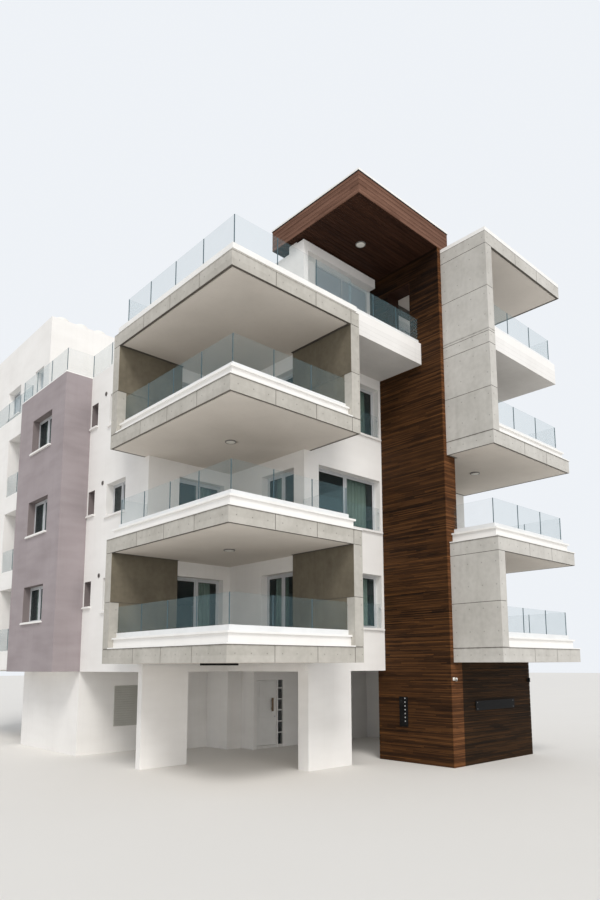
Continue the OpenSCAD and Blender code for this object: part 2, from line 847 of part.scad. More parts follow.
module ground_columns() {
    color(white) placed() {
        box(pier_x0, pier_x1, front_y, front_y + pier_t, 0, wall_base);
        box(side_x, side_x + side_pier_l, recess_y, stack_y - 40, 0, wall_base);
        for (x = rear_columns)
            box(x, x + column, block_y - 1400, block_y - 1400 + column, 0, wall_base);
        for (y = right_columns)
            box(wall_x1 - column, wall_x1, y, y + column, 0, wall_base);
        box(7200, 7200 + column, 15200, 15200 + column, 0, wall_base);
    }
}

// Store room under the bay
store_t = 200;
store_x1 = 3800;
store_y0 = bay_y0 + 30;
store_y1 = bay_y1 + 790;

module store_walls() {
    color(white) placed() difference() {
        box(side_x, store_x1, store_y0, store_y1, 0, wall_base);
        box(side_x + store_t, store_x1 - store_t, store_y0 + store_t,
            store_y1 - store_t, -1, wall_base + 1);
    }
}

// The lobby walls, left open where the entrance front stands
module lobby_walls() {
    color(white) placed() difference() {
        slab(lobby_outer, 0, wall_base);
        slab(lobby_inner, -1, wall_base + 1);
        box(door_x0, lobby_x1 - lobby_t, front_0 - 1, front_1 + 1, -1, wall_base + 1);
    }
}

// The entrance front beside the doorway: a mullion, the wall that goes on past
// the lobby to the right-hand edge, and its return to the first column
module lobby_front_walls() {
    color(white) placed() {
        box(door_x1, light_x0, front_0, front_1, 0, door_z1);
        box(light_x1, lobby_x1 - lobby_t, front_0, front_1, 0, wall_base);
        box(lobby_x1, wall_x1, front_0, front_1, 0, wall_base);
        box(wall_x1 - lobby_t, wall_x1, right_columns[0] + column, front_0,
            0, wall_base);
    }
}

module lobby_lintel() {
    color(white) placed()
        box(door_x0, light_x1, front_0, front_1, door_z1, wall_base);
}

module lobby_floor() {
    color(concrete) placed() {
        slab(lobby_inner, 0, lobby_floor_t);
        box(door_x0, door_x1, front_0, front_1, 0, lobby_floor_t);
        box(light_x0, light_x1, front_0, front_1, 0, lobby_floor_t);
    }
}

// The door turns on a pin at its foot and another at its head, both on the
// centre line of its rounded heel
leaf_y = lobby_y0 + 40;
heel_x = door_x0 + leaf_gap + leaf_t / 2;
heel_y = leaf_y + leaf_t / 2;
pin_r = 10;
pin_l = 34;
pin_play = 0.05;
leaf_z0 = door_z0 + leaf_gap;
leaf_z1 = door_z1 - leaf_gap;

module lobby_door() {
    color(white) placed() difference() {
        union() {
            translate([heel_x, heel_y, leaf_z0])
                cylinder(h = leaf_z1 - leaf_z0, r = leaf_t / 2);
            box(heel_x, door_x1 - leaf_gap, leaf_y, leaf_y + leaf_t, leaf_z0, leaf_z1);
        }
        for (z = [leaf_z0 - 1, leaf_z1 - pin_l])
            translate([heel_x, heel_y, z]) cylinder(h = pin_l + 1, r = pin_r + pin_play);
    }
}

module lobby_door_pivots() {
    color(alu) placed()
        for (z = [door_z0, leaf_z1 - pin_l + 2])
            translate([heel_x, heel_y, z]) cylinder(h = leaf_gap + pin_l - 2, r = pin_r);
}

// A flat bar on two stand-offs
module lobby_door_pull() {
    x = door_x1 - 260;
    color(brass) placed() {
        box(x, x + 90, leaf_y - 60, leaf_y - 45, 1290, 1770);
        for (z = [1380, 1680])
            translate([x + 45, leaf_y - 46, z]) rotate([-90, 0, 0]) cylinder(h = 46, d = 24);
    }
}

// Windows and balcony doors

module window_frames() {
    color(alu) placed() {
        for (i = [1 : 3]) for (w = windows) frame(w, level(i));
        frame(roof_window, level(4));
    }
}

module window_glass() {
    color(glass) placed() {
        for (i = [1 : 3]) for (w = concat(windows, balcony_doors)) panes(w, level(i));
        for (w = roof_openings) panes(w, level(4));
        // The glazed strip beside the entrance door
        box(light_x0, light_x1, lobby_y0 + 60, lobby_y0 + 90, door_z0, door_z1);
    }
}

module window_sills() {
    color(white) placed() {
        for (i = [1 : 3]) for (w = windows) sill(w, level(i));
        sill(roof_window, level(4));
    }
}

module door_frames() {
    color(alu) placed() {
        for (i = [1 : 3]) for (w = balcony_doors) frame(w, level(i));
        for (w = [terrace_door, terrace_door_2, roof_door]) frame(w, level(4));
    }
}

left_lower_box();
left_upper_box();
right_lower_box();
right_upper_box();
soffit_panels();
balcony_upstands();
balcony_copings();
rail_shoes();
left_balcony_glass();
right_balcony_glass();
terrace_glass();
front_wall();
recess_side_wall();
recess_rear_wall();
side_walls();
loggia_walls();
rear_wall();
right_wall();
bay_walls();
floor_slabs();
roof_slab();
terrace_slabs();
loggia_slabs();
timber_fin();
timber_canopy();
canopy_roof();
sign_wall();
sign_plaque();
intercom_panel();
ceiling_lamps();
penthouse_walls();
penthouse_roof();
roof_tanks();
ground_columns();
store_walls();
lobby_walls();
lobby_front_walls();
lobby_lintel();
lobby_floor();
lobby_door();
lobby_door_pivots();
lobby_door_pull();
window_frames();
window_glass();
window_sills();
door_frames();
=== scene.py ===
"""Looks of a four-storey apartment block with box balconies and a timber fin.

Plan sizes are metres from the near left corner of the left balconies: X along
the street front, Y away from the street, Z up from the ground.
"""
from __future__ import annotations

import json
import logging
import math
from dataclasses import dataclass, field
from enum import Enum
from random import Random

import bmesh
import bpy
from mathutils import Matrix, Vector

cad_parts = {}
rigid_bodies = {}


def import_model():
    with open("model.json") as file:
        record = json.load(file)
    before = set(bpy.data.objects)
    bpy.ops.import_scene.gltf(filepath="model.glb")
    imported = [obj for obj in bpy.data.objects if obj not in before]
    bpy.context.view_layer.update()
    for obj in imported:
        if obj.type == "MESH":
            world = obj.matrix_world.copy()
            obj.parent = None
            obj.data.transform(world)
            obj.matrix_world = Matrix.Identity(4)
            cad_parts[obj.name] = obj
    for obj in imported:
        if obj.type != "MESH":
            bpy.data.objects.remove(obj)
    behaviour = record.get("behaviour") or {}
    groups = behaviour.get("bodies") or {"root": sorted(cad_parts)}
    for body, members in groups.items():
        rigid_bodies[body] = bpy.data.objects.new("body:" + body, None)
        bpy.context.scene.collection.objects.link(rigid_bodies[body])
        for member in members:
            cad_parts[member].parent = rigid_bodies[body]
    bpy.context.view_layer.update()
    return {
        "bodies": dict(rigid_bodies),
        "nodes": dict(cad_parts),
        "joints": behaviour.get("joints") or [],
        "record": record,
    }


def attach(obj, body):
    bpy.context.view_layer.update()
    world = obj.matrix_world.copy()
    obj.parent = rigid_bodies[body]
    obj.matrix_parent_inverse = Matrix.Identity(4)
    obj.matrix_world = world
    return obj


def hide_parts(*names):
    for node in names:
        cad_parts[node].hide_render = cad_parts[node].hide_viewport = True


LOG = logging.getLogger("apartment_block")
PLAN_CENTRE = Vector((6.255, 9.15, 0.0))

# Heights and thicknesses in metres, as in the part's source
FIRST_LEVEL = 3.0
STOREY = 3.15
BAND = 0.4
WALL = 0.35
REVEAL = 0.24
WALL_BASE = 2.76
TERRACE = 12.9
CANOPY = 16.18

Pair = tuple[float, float]
Point = tuple[float, float, float]
Span = tuple[float, float, float, float]
Tone = tuple[float, float, float, float]
Box = tuple[Point, Point]
Corners = tuple[Vector, Vector]


def level(storey: int) -> float:
    """Height of the underside of a storey's balcony band."""
    return FIRST_LEVEL + (storey - 1) * STOREY


def shade(red: int, green: int, blue: int) -> Tone:
    """Colour as the renderer needs it, from 0 to 255 steps.

    Args:
        red: red step.
        green: green step.
        blue: blue step.

    Returns:
        The linear colour with full opacity.
    """
    def linear(step: int) -> float:
        """Linear value of one step."""
        part = step / 255
        return part / 12.92 if part <= 0.04045 else ((part + 0.055) / 1.055) ** 2.4

    return linear(red), linear(green), linear(blue), 1.0


class Signal:
    """An output socket that can be used in Python expressions."""

    def __init__(self, sheet: Sheet, socket: bpy.types.NodeSocket) -> None:
        """Keeps the socket and the sheet it is on."""
        self.sheet = sheet
        self.socket = socket

    def math(self, operation: str, *others: Signal | float) -> Signal:
        """Adds a Math node that starts with this signal, and returns its result."""
        return self.sheet.math(operation, self, *others)

    def __add__(self, other: Signal | float) -> Signal:
        """Sum."""
        return self.math("ADD", other)

    __radd__ = __add__

    def __mul__(self, other: Signal | float) -> Signal:
        """Product."""
        return self.math("MULTIPLY", other)

    __rmul__ = __mul__

    def __sub__(self, other: Signal | float) -> Signal:
        """Difference."""
        return self.math("SUBTRACT", other)

    def __rsub__(self, other: Signal | float) -> Signal:
        """Difference from a number."""
        return self.sheet.math("SUBTRACT", other, self)

    def __truediv__(self, other: Signal | float) -> Signal:
        """Quotient."""
        return self.math("DIVIDE", other)

    def __pow__(self, other: float) -> Signal:
        """Power."""
        return self.math("POWER", other)

    def fract(self) -> Signal:
        """Part after the point."""
        return self.math("FRACT")

    def floor(self) -> Signal:
        """Whole number below."""
        return self.math("FLOOR")

    def size(self) -> Signal:
        """Value without its sign."""
        return self.math("ABSOLUTE")

    def under(self, limit: Signal | float) -> Signal:
        """1 where the signal is below the limit."""
        return self.math("LESS_THAN", limit)

    def over(self, limit: Signal | float) -> Signal:
        """1 where the signal is above the limit."""
        return self.math("GREATER_THAN", limit)

    def ramp(self, low: float, high: float) -> Signal:
        """A straight ramp that is held beyond its ends.

        Args:
            low: where it is 0.
            high: where it is 1.

        Returns:
            The ramp's value.
        """
        node = self.sheet.node("ShaderNodeMapRange", {"clamp": True}, {
            "Value": self, "From Min": low, "From Max": high})
        return Signal(self.sheet, node.outputs["Result"])


class Sheet:
    """The node sheet of one material."""

    def __init__(self, name: str) -> None:
        """Starts a material with a Principled shader.

        Args:
            name: the material's name.
        """
        self.material = bpy.data.materials.new(name)
        self.material.use_nodes = True
        self.tree = self.material.node_tree
        self.shader = self.tree.nodes["Principled BSDF"]
        place = self.node("ShaderNodeTexCoord", {}, {}).outputs["Object"]
        shift = self.node("ShaderNodeVectorMath", {"operation": "ADD"},
                          {0: place, 1: tuple(PLAN_CENTRE)})
        self.place = shift.outputs["Vector"]
        split = self.node("ShaderNodeSeparateXYZ", {}, {0: self.place})
        self.x, self.y, self.z = (Signal(self, out) for out in split.outputs)
        facing = self.node("ShaderNodeNewGeometry", {}, {}).outputs["Normal"]
        turned = self.node("ShaderNodeSeparateXYZ", {}, {0: facing})
        self.upright = Signal(self, turned.outputs["Z"]).size().under(0.5)
        self.downward = Signal(self, turned.outputs["Z"]).under(-0.5)

    def node(self, kind: str, settings: dict[str, object],
             inputs: dict[str | int, object]) -> bpy.types.Node:
        """Adds a node.

        Args:
            kind: the node's type.
            settings: its properties, set before its sockets.
            inputs: the values or links of its sockets.

        Returns:
            The new node.
        """
        node = self.tree.nodes.new(kind)
        for name, value in settings.items():
            setattr(node, name, value)
        for key, value in inputs.items():
            self.feed(node.inputs[key], value)
        return node

    def feed(self, socket: bpy.types.NodeSocket, value: object) -> None:
        """Links a signal or socket to a socket, or sets its value.

        Args:
            socket: the socket to feed.
            value: what it gets.
        """
        if isinstance(value, Signal):
            self.tree.links.new(value.socket, socket)
        elif isinstance(value, bpy.types.NodeSocket):
            self.tree.links.new(value, socket)
        else:
            socket.default_value = value

    def math(self, operation: str, *values: Signal | float) -> Signal:
        """Adds a Math node and returns its result."""
        node = self.node("ShaderNodeMath", {"operation": operation}, dict(enumerate(values)))
        return Signal(self, node.outputs[0])

    def spread(self, x: float, y: float, z: float) -> bpy.types.NodeSocket:
        """The place, scaled along each axis.

        Args:
            x: scale along X.
            y: scale along Y.
            z: scale along Z.

        Returns:
            The scaled place.
        """
        node = self.node("ShaderNodeVectorMath", {"operation": "MULTIPLY"},
                         {0: self.place, 1: (x, y, z)})
        return node.outputs["Vector"]

    def noise(self, scale: float, detail: float = 3.0,
              place: bpy.types.NodeSocket | None = None) -> Signal:
        """Cloudy noise from 0 to 1.

        Args:
            scale: clouds to a metre.
            detail: how many finer layers.
            place: where to read it, or None for the plain place.

        Returns:
            The noise.
        """
        node = self.node("ShaderNodeTexNoise", {}, {
            "Vector": place or self.place, "Scale": scale, "Detail": detail})
        return Signal(self, node.outputs["Fac"])

    def pits(self, scale: float, size: float) -> Signal:
        """1 in small round pits.

        Args:
            scale: pits to a metre.
            size: their size as a share of a cell.

        Returns:
            The mask.
        """
        node = self.node("ShaderNodeTexVoronoi", {}, {
            "Vector": self.place, "Scale": scale})
        return Signal(self, node.outputs["Distance"]).ramp(size, size * 0.6)

    def chance(self, number: Signal) -> Signal:
        """A value from 0 to 1 that is fixed for each whole number.

        Args:
            number: the whole number.

        Returns:
            The value.
        """
        node = self.node("ShaderNodeTexWhiteNoise", {"noise_dimensions": "1D"},
                         {"W": number})
        return Signal(self, node.outputs["Value"])

    def mix(self, mask: Signal, one: object, two: object) -> bpy.types.NodeSocket:
        """Mixes two colours.

        Args:
            mask: the share of the second colour.
            one: the first colour.
            two: the second colour.

        Returns:
            The mixed colour.
        """
        node = self.node("ShaderNodeMix", {"data_type": "RGBA"},
                         {"Factor": mask, 6: one, 7: two})
        return node.outputs[2]

    def bump(self, height: Signal, depth: float) -> None:
        """Raises the surface by a height from 0 to 1, depth metres at 1."""
        node = self.node("ShaderNodeBump", {}, {"Height": height, "Distance": depth})
        self.set(Normal=node.outputs["Normal"])

    def set(self, **values: object) -> None:
        """Sets or links the shader's sockets, with _ for a space."""
        for name, value in values.items():
            self.feed(self.shader.inputs[name.replace("_", " ")], value)


class Finish:
    """A finish that makes its material once."""

    made: dict[Finish, bpy.types.Material] = {}

    def material(self) -> bpy.types.Material:
        """Makes the finish's material when it is first asked for.

        Returns:
            The material.
        """
        if self not in Finish.made:
            sheet = Sheet(self.name)
            self.draw(sheet)
            Finish.made[self] = sheet.material
        return Finish.made[self]

    def draw(self, sheet: Sheet) -> None:
        """Draws the finish on its sheet."""
        raise NotImplementedError


@dataclass(frozen=True)
class Render(Finish):
    """Trowelled render with clouds, streaks and a darker reveal, partly paint, partly painted
    shade.
    """

    name: str
    pale: Tone
    dull: Tone
    trowel: float = 0.15
    courses: float = 0.0
    relief: float = 0.0015
    reveal: Span = (0.0, 0.0, 0.0, 0.0)
    reveal_paint_and_shade: Tone = shade(124, 114, 113)

    def draw(self, sheet: Sheet) -> None:
        """Draws the finish on its sheet.

        Args:
            sheet: the sheet to draw on.
        """
        cloud = sheet.noise(0.7, 4.0)
        sweep = sheet.noise(1.0, 4.0, sheet.spread(0.7, 0.7, 3.2))
        streak = sheet.noise(1.0, 3.0, sheet.spread(7.0, 7.0, 0.35))
        grain = sheet.noise(160.0, 2.0)
        mark = cloud.ramp(0.35, 0.75) * 0.45 + sweep.ramp(0.4, 0.7) * self.trowel
        mark = mark + streak.ramp(0.55, 0.85) * 0.2 + grain * 0.08
        if self.courses:
            line = ((sheet.z / self.courses).fract() - 0.5).size().ramp(0.46, 0.49)
            mark = mark + line * 0.6
        body = sheet.mix(mark, self.pale, self.dull)
        # Reveal tone: on the white side wall it is the reveal's taupe paint; on the taupe bay
        # the darker tone is painted shade
        x0, x1, y0, y1 = self.reveal
        if x1 > x0:
            inside = sheet.x.over(x0) * sheet.x.under(x1)
            inside = inside * sheet.y.over(y0) * sheet.y.under(y1)
            body = sheet.mix(inside, body, self.reveal_paint_and_shade)
        sheet.set(Base_Color=body, Roughness=0.82 + cloud * 0.1)
        sheet.bump(grain * 0.6 + sweep * 0.4, self.relief)


@dataclass(frozen=True)
class Concrete(Finish):
    """Fair-faced concrete with clouds, tie holes, open joints, and painted shade on its inner
    faces and undersides.

    near is the outer corner of the box, and the corner after it in the call
    is where its inner faces end; these faces are painted darker and browner, as shade.
    across the heights of the level joints, along_x and along_y the places of
    the upright ones. band_top is a little above the top of a slab's edge.
    """

    name: str
    near: Pair
    inner_shade_end: Pair
    across: tuple[float, ...]
    along_x: tuple[float, ...]
    along_y: tuple[float, ...] = ()
    pale: Tone = shade(210, 207, 201)
    dull: Tone = shade(174, 171, 164)
    # Darker, browner tones painted on the box's inner faces as shade
    inner_shade: Tone = shade(124, 116, 99)
    inner_shade_dull: Tone = shade(88, 81, 67)
    # Dark tone of joints, tie holes, pits and stains, also used as painted shade on undersides
    # and under the ledge
    marks_and_shade: Tone = shade(92, 87, 80)
    tie_gap: float = 1.395 / 3
    tie_rise: float = 0.66
    tie_foot: float = 0.205
    tie_size: float = 0.012
    panel_rise: float = 1.58
    band_top: float = BAND + 0.01
    joint: float = 0.0075
    skin: float = 0.0145
    rim: float = 0.28
    rim_top: float = 1.73
    relief: float = 0.004

    def joints(self, sheet: Sheet, in_band: Signal) -> Signal:
        """1 in the open joints between the panels.

        Args:
            sheet: the sheet to draw on.
            in_band: 1 where the height is that of a slab's edge.

        Returns:
            The mask.
        """
        in_band = in_band * sheet.upright
        front = sheet.y.under(self.near[1] + self.skin) * in_band
        left = sheet.x.under(self.near[0] + self.skin) * in_band
        mask = (sheet.z - self.across[0]).size().under(self.joint)
        for height in self.across[1:]:
            mask = mask + (sheet.z - height).size().under(self.joint)
        for x in self.along_x:
            mask = mask + (sheet.x - x).size().under(self.joint) * front
        for y in self.along_y:
            mask = mask + (sheet.y - y).size().under(self.joint) * left
        return mask.math("MINIMUM", 1.0)

    def draw(self, sheet: Sheet) -> None:
        """Draws the finish on its sheet.

        Args:
            sheet: the sheet to draw on.
        """
        cloud = sheet.noise(1.1, 5.0)
        fine = sheet.noise(7.0, 5.0)
        grain = sheet.noise(90.0, 3.0)
        run = sheet.noise(1.0, 3.0, sheet.spread(5.0, 5.0, 0.5))
        rise = ((sheet.z - FIRST_LEVEL) / STOREY).fract() * STOREY
        cell = (sheet.x + sheet.y) / self.tie_gap
        along = cell.fract() - 0.5
        up = ((rise - self.tie_foot) / self.tie_rise + 0.5).fract() - 0.5
        away = ((along * self.tie_gap) ** 2.0 + (up * self.tie_rise) ** 2.0) ** 0.5
        tie = away.under(self.tie_size) * sheet.upright
        halo = away.ramp(self.tie_size * 2.4, self.tie_size) * sheet.upright
        pits = sheet.pits(24.0, 0.09)
        panel = (cell / 3).floor() * 5.1 + (sheet.z / self.panel_rise).floor() * 2.3
        tone = sheet.chance(panel)
        # Below the top of a slab's edge: a wide mottled stain, plus a thin dark line painted as
        # the shadow under the white ledge
        stain_and_ledge_shadow = (rise - BAND).size().ramp(0.05, 0.0) * fine.ramp(0.3, 0.7) * 0.35
        stain_and_ledge_shadow = (stain_and_ledge_shadow + (rise - BAND).size().ramp(0.014, 0.008) * 0.45) * sheet.upright
        mark = cloud.ramp(0.3, 0.75) * 0.5 + fine.ramp(0.35, 0.75) * 0.25 + tone * 0.18
        mark = mark + run.ramp(0.5, 0.8) * 0.2 + grain * 0.1
        # Painted shade: the box's inner faces get the darker, browner tones, except a strip
        # along the open edges low down, where light falls
        inside = sheet.x.over(self.near[0] + self.skin) * sheet.x.under(self.inner_shade_end[0])
        inside = inside * sheet.y.over(self.near[1] + self.skin)
        inside = inside * sheet.y.under(self.inner_shade_end[1]) * sheet.upright
        rim = sheet.x.under(self.near[0] + self.rim) + sheet.y.under(self.near[1] + self.rim)
        inside = inside * (1.0 - rim.math("MINIMUM", 1.0) * rise.under(self.rim_top))
        body = sheet.mix(inside, sheet.mix(mark, self.pale, self.dull),
                         sheet.mix(mark, self.inner_shade, self.inner_shade_dull))
        open_joint = self.joints(sheet, rise.under(self.band_top))
        # Downward faces are painted dark as shade; joints, tie holes, pits and stains take the
        # same dark tone
        dark = sheet.downward * 0.85 + stain_and_ledge_shadow + halo * 0.18 + tie * 0.5 + pits * 0.35
        dark = dark + open_joint * 0.9
        sheet.set(Base_Color=sheet.mix(dark, body, self.marks_and_shade),
                  Roughness=0.72 + cloud * 0.15)
        sheet.bump(grain * 0.3 + fine * 0.3 - tie * 1.0 - pits * 0.8, self.relief)


class Lie(Enum):
    """Which way the courses of a boarded face follow each other."""

    UP = "z"
    BACK = "y"


@dataclass(frozen=True)
class Timber(Finish):
    """Oiled boards of their own tones, long grain, pale slats and painted edge highlights.

    pitch and slat are the heights of a board and of a slat in it, board_run
    and slat_run their lengths. Where a top height is given, shade under the canopy is
    painted: the boards grow darker from the foot height up to it, and their edge highlights
    fade.
    """

    name: str
    dark: Tone
    light: Tone
    worn: Tone
    edge_glint_and_vein: float = 0.7
    pitch: float = 0.14
    board_run: float = 1.9
    slat: float = 0.035
    slat_run: float = 1.7
    lie: Lie = Lie.UP
    shelter_foot: float = 13.2
    shade_top: float = 0.0
    relief: float = 0.0012

    def draw(self, sheet: Sheet) -> None:
        """Draws the finish on its sheet.

        Args:
            sheet: the sheet to draw on.
        """
        across = sheet.z if self.lie is Lie.UP else sheet.y
        board = (across / self.pitch).floor()
        tone = sheet.chance(board)
        grain = self.grain(sheet, 0.35, 30.0, 5.0)
        pores = self.grain(sheet, 4.0, 240.0, 2.0)
        streak = self.grain(sheet, 0.3, 42.0, 3.0)
        patch = self.grain(sheet, 1.2, 7.0, 2.0)
        run = sheet.x + sheet.y if self.lie is Lie.UP else sheet.x
        plank = sheet.chance(board * 3.7 + (run / self.board_run + tone * 5.0).floor())
        slat = (across / self.slat).floor()
        end = (run / self.slat_run + sheet.chance(slat * 2.3) * 7.0).floor()
        vein = sheet.chance(slat * 5.1 + end)
        mark = (plank * 0.3 + vein * 0.22 + grain.ramp(0.36, 0.68) * 0.3
                + patch.ramp(0.35, 0.7) * 0.18)
        # Painted shade under the canopy: darker boards and fainter edge highlights towards the
        # top
        shelter = 0.0
        if self.shade_top:
            shelter = sheet.z.ramp(self.shelter_foot, self.shade_top)
        body = sheet.mix(mark - shelter * 0.35, self.dark, self.light)
        # Painted highlight: a mottled pale line near the top edge of each board in the worn
        # tone, with the pale slat veins added
        edge_glint_and_vein = ((across / self.pitch).fract() - 0.88).size().ramp(0.11, 0.04)
        edge_glint_and_vein = edge_glint_and_vein * (patch.ramp(0.42, 0.62) * 0.4 + pores.ramp(0.35, 0.7) * 0.25)
        vein = vein.ramp(0.45, 1.0) * streak.ramp(0.34, 0.66)
        edge_glint_and_vein = (edge_glint_and_vein + vein * 0.6) * (self.edge_glint_and_vein - shelter * 0.75)
        sheet.set(Base_Color=sheet.mix(edge_glint_and_vein, body, self.worn), Roughness=0.62 + grain * 0.2,
                  Specular_IOR_Level=0.12)
        sheet.bump(grain * 0.6 + pores * 0.4, self.relief)

    def grain(self, sheet: Sheet, along: float, across: float, detail: float) -> Signal:
        """Noise with so many clouds to a metre along and across the boards."""
        flat = (along, along, across) if self.lie is Lie.UP else (along, across, along)
        return sheet.noise(1.0, detail, sheet.spread(*flat))


@dataclass(frozen=True)
class Glazing(Finish):
    """Glass clearer seen straight on; from a height up painted pale, as the lit room behind it.
    """

    name: str
    tint: Tone
    body: float
    edge: float
    lit_room_from: float = 99.0
    lit_room_tone: Tone = shade(176, 183, 189)

    def draw(self, sheet: Sheet) -> None:
        """Draws the finish on its sheet.

        Args:
            sheet: the sheet to draw on.
        """
        # Painted light: above the given height the glass is pale and more opaque, standing for
        # the bright room seen through it
        lit_room = sheet.z.over(self.lit_room_from)
        weight = sheet.node("ShaderNodeLayerWeight", {}, {"Blend": 0.35})
        turn = Signal(sheet, weight.outputs["Facing"])
        dust = sheet.noise(2.2, 4.0)
        sheet.set(Base_Color=sheet.mix(lit_room, self.tint, self.lit_room_tone),
                  Roughness=dust.ramp(0.4, 0.8) * 0.05 + 0.02,
                  Alpha=turn ** 2.0 * self.edge + dust * 0.03 + lit_room * 0.5 + self.body,
                  IOR=1.5)


@dataclass(frozen=True)
class Coat(Finish):
    """Powder coat, enamel or moulded plastic with slight wear."""

    name: str
    colour: Tone
    worn: Tone
    roughness: float = 0.4
    metal: float = 0.0
    gloss: float = 0.5

    def draw(self, sheet: Sheet) -> None:
        """Draws the finish on its sheet.

        Args:
            sheet: the sheet to draw on.
        """
        cloud = sheet.noise(2.5, 4.0)
        peel = sheet.noise(320.0, 2.0)
        mark = cloud.ramp(0.4, 0.8) * 0.5 + peel * 0.1
        sheet.set(Base_Color=sheet.mix(mark, self.colour, self.worn),
                  Metallic=self.metal, Roughness=self.roughness + cloud * 0.12,
                  Specular_IOR_Level=self.gloss)
        sheet.bump(peel, 0.0002)


@dataclass(frozen=True)
class Brushed(Finish):
    """Metal with a fine brushed grain along its length."""

    name: str
    colour: Tone
    worn: Tone

    def draw(self, sheet: Sheet) -> None:
        """Draws the finish on its sheet.

        Args:
            sheet: the sheet to draw on.
        """
        grain = sheet.noise(1.0, 3.0, sheet.spread(300.0, 300.0, 6.0))
        sheet.set(Base_Color=sheet.mix(grain.ramp(0.3, 0.7), self.colour, self.worn),
                  Metallic=1.0, Roughness=0.25 + grain * 0.2)
        sheet.bump(grain, 0.0001)


@dataclass(frozen=True)
class Tiles(Finish):
    """Square floor tiles with grout, and plain render on the underside."""

    name: str = "floor_tiles"
    pale: Tone = shade(196, 190, 180)
    dull: Tone = shade(168, 162, 152)
    grout: Tone = shade(120, 116, 110)
    ceiling: Tone = shade(232, 230, 226)
    tile: float = 0.6
    grout_width: float = 0.008

    def draw(self, sheet: Sheet) -> None:
        """Draws the finish on its sheet.

        Args:
            sheet: the sheet to draw on.
        """
        over, back = sheet.x / self.tile, sheet.y / self.tile
        edge = 0.5 - self.grout_width / 2 / self.tile
        line = (over.fract() - 0.5).size().over(edge)
        line = line.math("MAXIMUM", (back.fract() - 0.5).size().over(edge))
        tone = sheet.chance(over.floor() * 7.3 + back.floor() * 3.1)
        cloud = sheet.noise(5.0, 4.0)
        top = sheet.mix(tone * 0.6 + cloud * 0.4, self.pale, self.dull)
        top = sheet.mix(line, top, self.grout)
        below = sheet.mix(cloud * 0.3, self.ceiling, self.dull)
        sheet.set(Base_Color=sheet.mix(sheet.z.under(FIRST_LEVEL), top, below),
                  Roughness=0.4 + cloud * 0.2 + line * 0.2)
        sheet.bump(cloud * 0.2 - line * 0.8, 0.002)


@dataclass(frozen=True)
class Weave(Finish):
    """Thin curtain cloth with a fine weave."""

    name: str
    colour: Tone
    deep: Tone
    threads: float = 900.0

    def draw(self, sheet: Sheet) -> None:
        """Draws the finish on its sheet.

        Args:
            sheet: the sheet to draw on.
        """
        thread = ((sheet.z * self.threads).fract() - 0.5).size()
        slub = sheet.noise(1.0, 3.0, sheet.spread(60.0, 60.0, 2.0))
        sheet.set(Base_Color=sheet.mix(slub.ramp(0.3, 0.7), self.colour, self.deep),
                  Roughness=0.88)
        sheet.bump(thread * 0.5 + slub * 0.5, 0.0004)


@dataclass(frozen=True)
class Diffuser(Finish):
    """Opal cover of a lamp that is switched off."""

    name: str = "opal_cover"
    colour: Tone = shade(238, 236, 228)
    dull: Tone = shade(214, 212, 204)

    def draw(self, sheet: Sheet) -> None:
        """Draws the finish on its sheet.

        Args:
            sheet: the sheet to draw on.
        """
        cloud = sheet.noise(30.0, 2.0)
        sheet.set(Base_Color=sheet.mix(cloud * 0.4, self.colour, self.dull),
                  Roughness=0.3 + cloud * 0.1)


WHITE_TONES = (shade(243, 241, 238), shade(225, 222, 218))
WHITE = Render("white_render", *WHITE_TONES)
# The narrow window's reveal is taupe paint; the bay's darker reveal is painted shade
SIDE_WHITE = Render("side_render", *WHITE_TONES, reveal=(1.134, 1.371, 9.27, 9.77))
TAUPE = Render("taupe_render", shade(163, 153, 155), shade(141, 131, 132), 0.35,
               reveal=(0.184, 0.421, 10.94, 12.71))
SOFFIT_WHITE = Render("soffit_render", shade(226, 219, 210), shade(206, 199, 190))
PARAPET = Render("parapet_render", shade(238, 236, 233), shade(206, 203, 199), 0.05, 0.15)
LEFT_CONCRETE = Concrete(
    "left_box_concrete", (0.0, 0.0), (4.1515, 5.6115),
    (3.41, 4.73, 6.15, 9.71, 11.03, 12.45), (1.395, 2.79, 4.15), (1.385, 2.785, 4.19),
    shade(199, 195, 187), shade(160, 156, 147))
RIGHT_CONCRETE = Concrete(
    "right_box_concrete", (7.84, -2.14), (7.86, -2.12),
    (3.41, 4.71, 6.15, 9.71, 11.05, 12.4, 12.77, 14.22, 15.6), (9.6, 10.97))
# The fin's boards are painted darker near the canopy, as shade
BOARDS = Timber("dark_boards", shade(21, 11, 6), shade(78, 50, 27), shade(122, 81, 44), 0.9,
                shade_top=15.2)
SIGN_BOARDS = Timber("shaded_boards", shade(14, 8, 3), shade(52, 34, 16),
                     shade(88, 59, 32), 0.8)
# Lighter copy of the fin's boards for its narrow front face, painted as the light on that face
FRONT_LIT_BOARDS = Timber("front_lit_boards", shade(46, 27, 14), shade(106, 67, 38),
                      shade(152, 102, 62), 0.9)
FASCIA = Timber("fascia_boards", shade(84, 57, 44), shade(130, 96, 80),
                shade(150, 116, 98), 0.4)
SOFFIT = Timber("soffit_boards", shade(36, 20, 14), shade(70, 44, 31), shade(88, 58, 42),
                0.4, lie=Lie.BACK)
BACKING = Coat("board_backing", shade(22, 13, 8), shade(16, 10, 7), 0.7)
CLEAR = Glazing("balcony_sheet", shade(128, 162, 170), 0.035, 0.36)
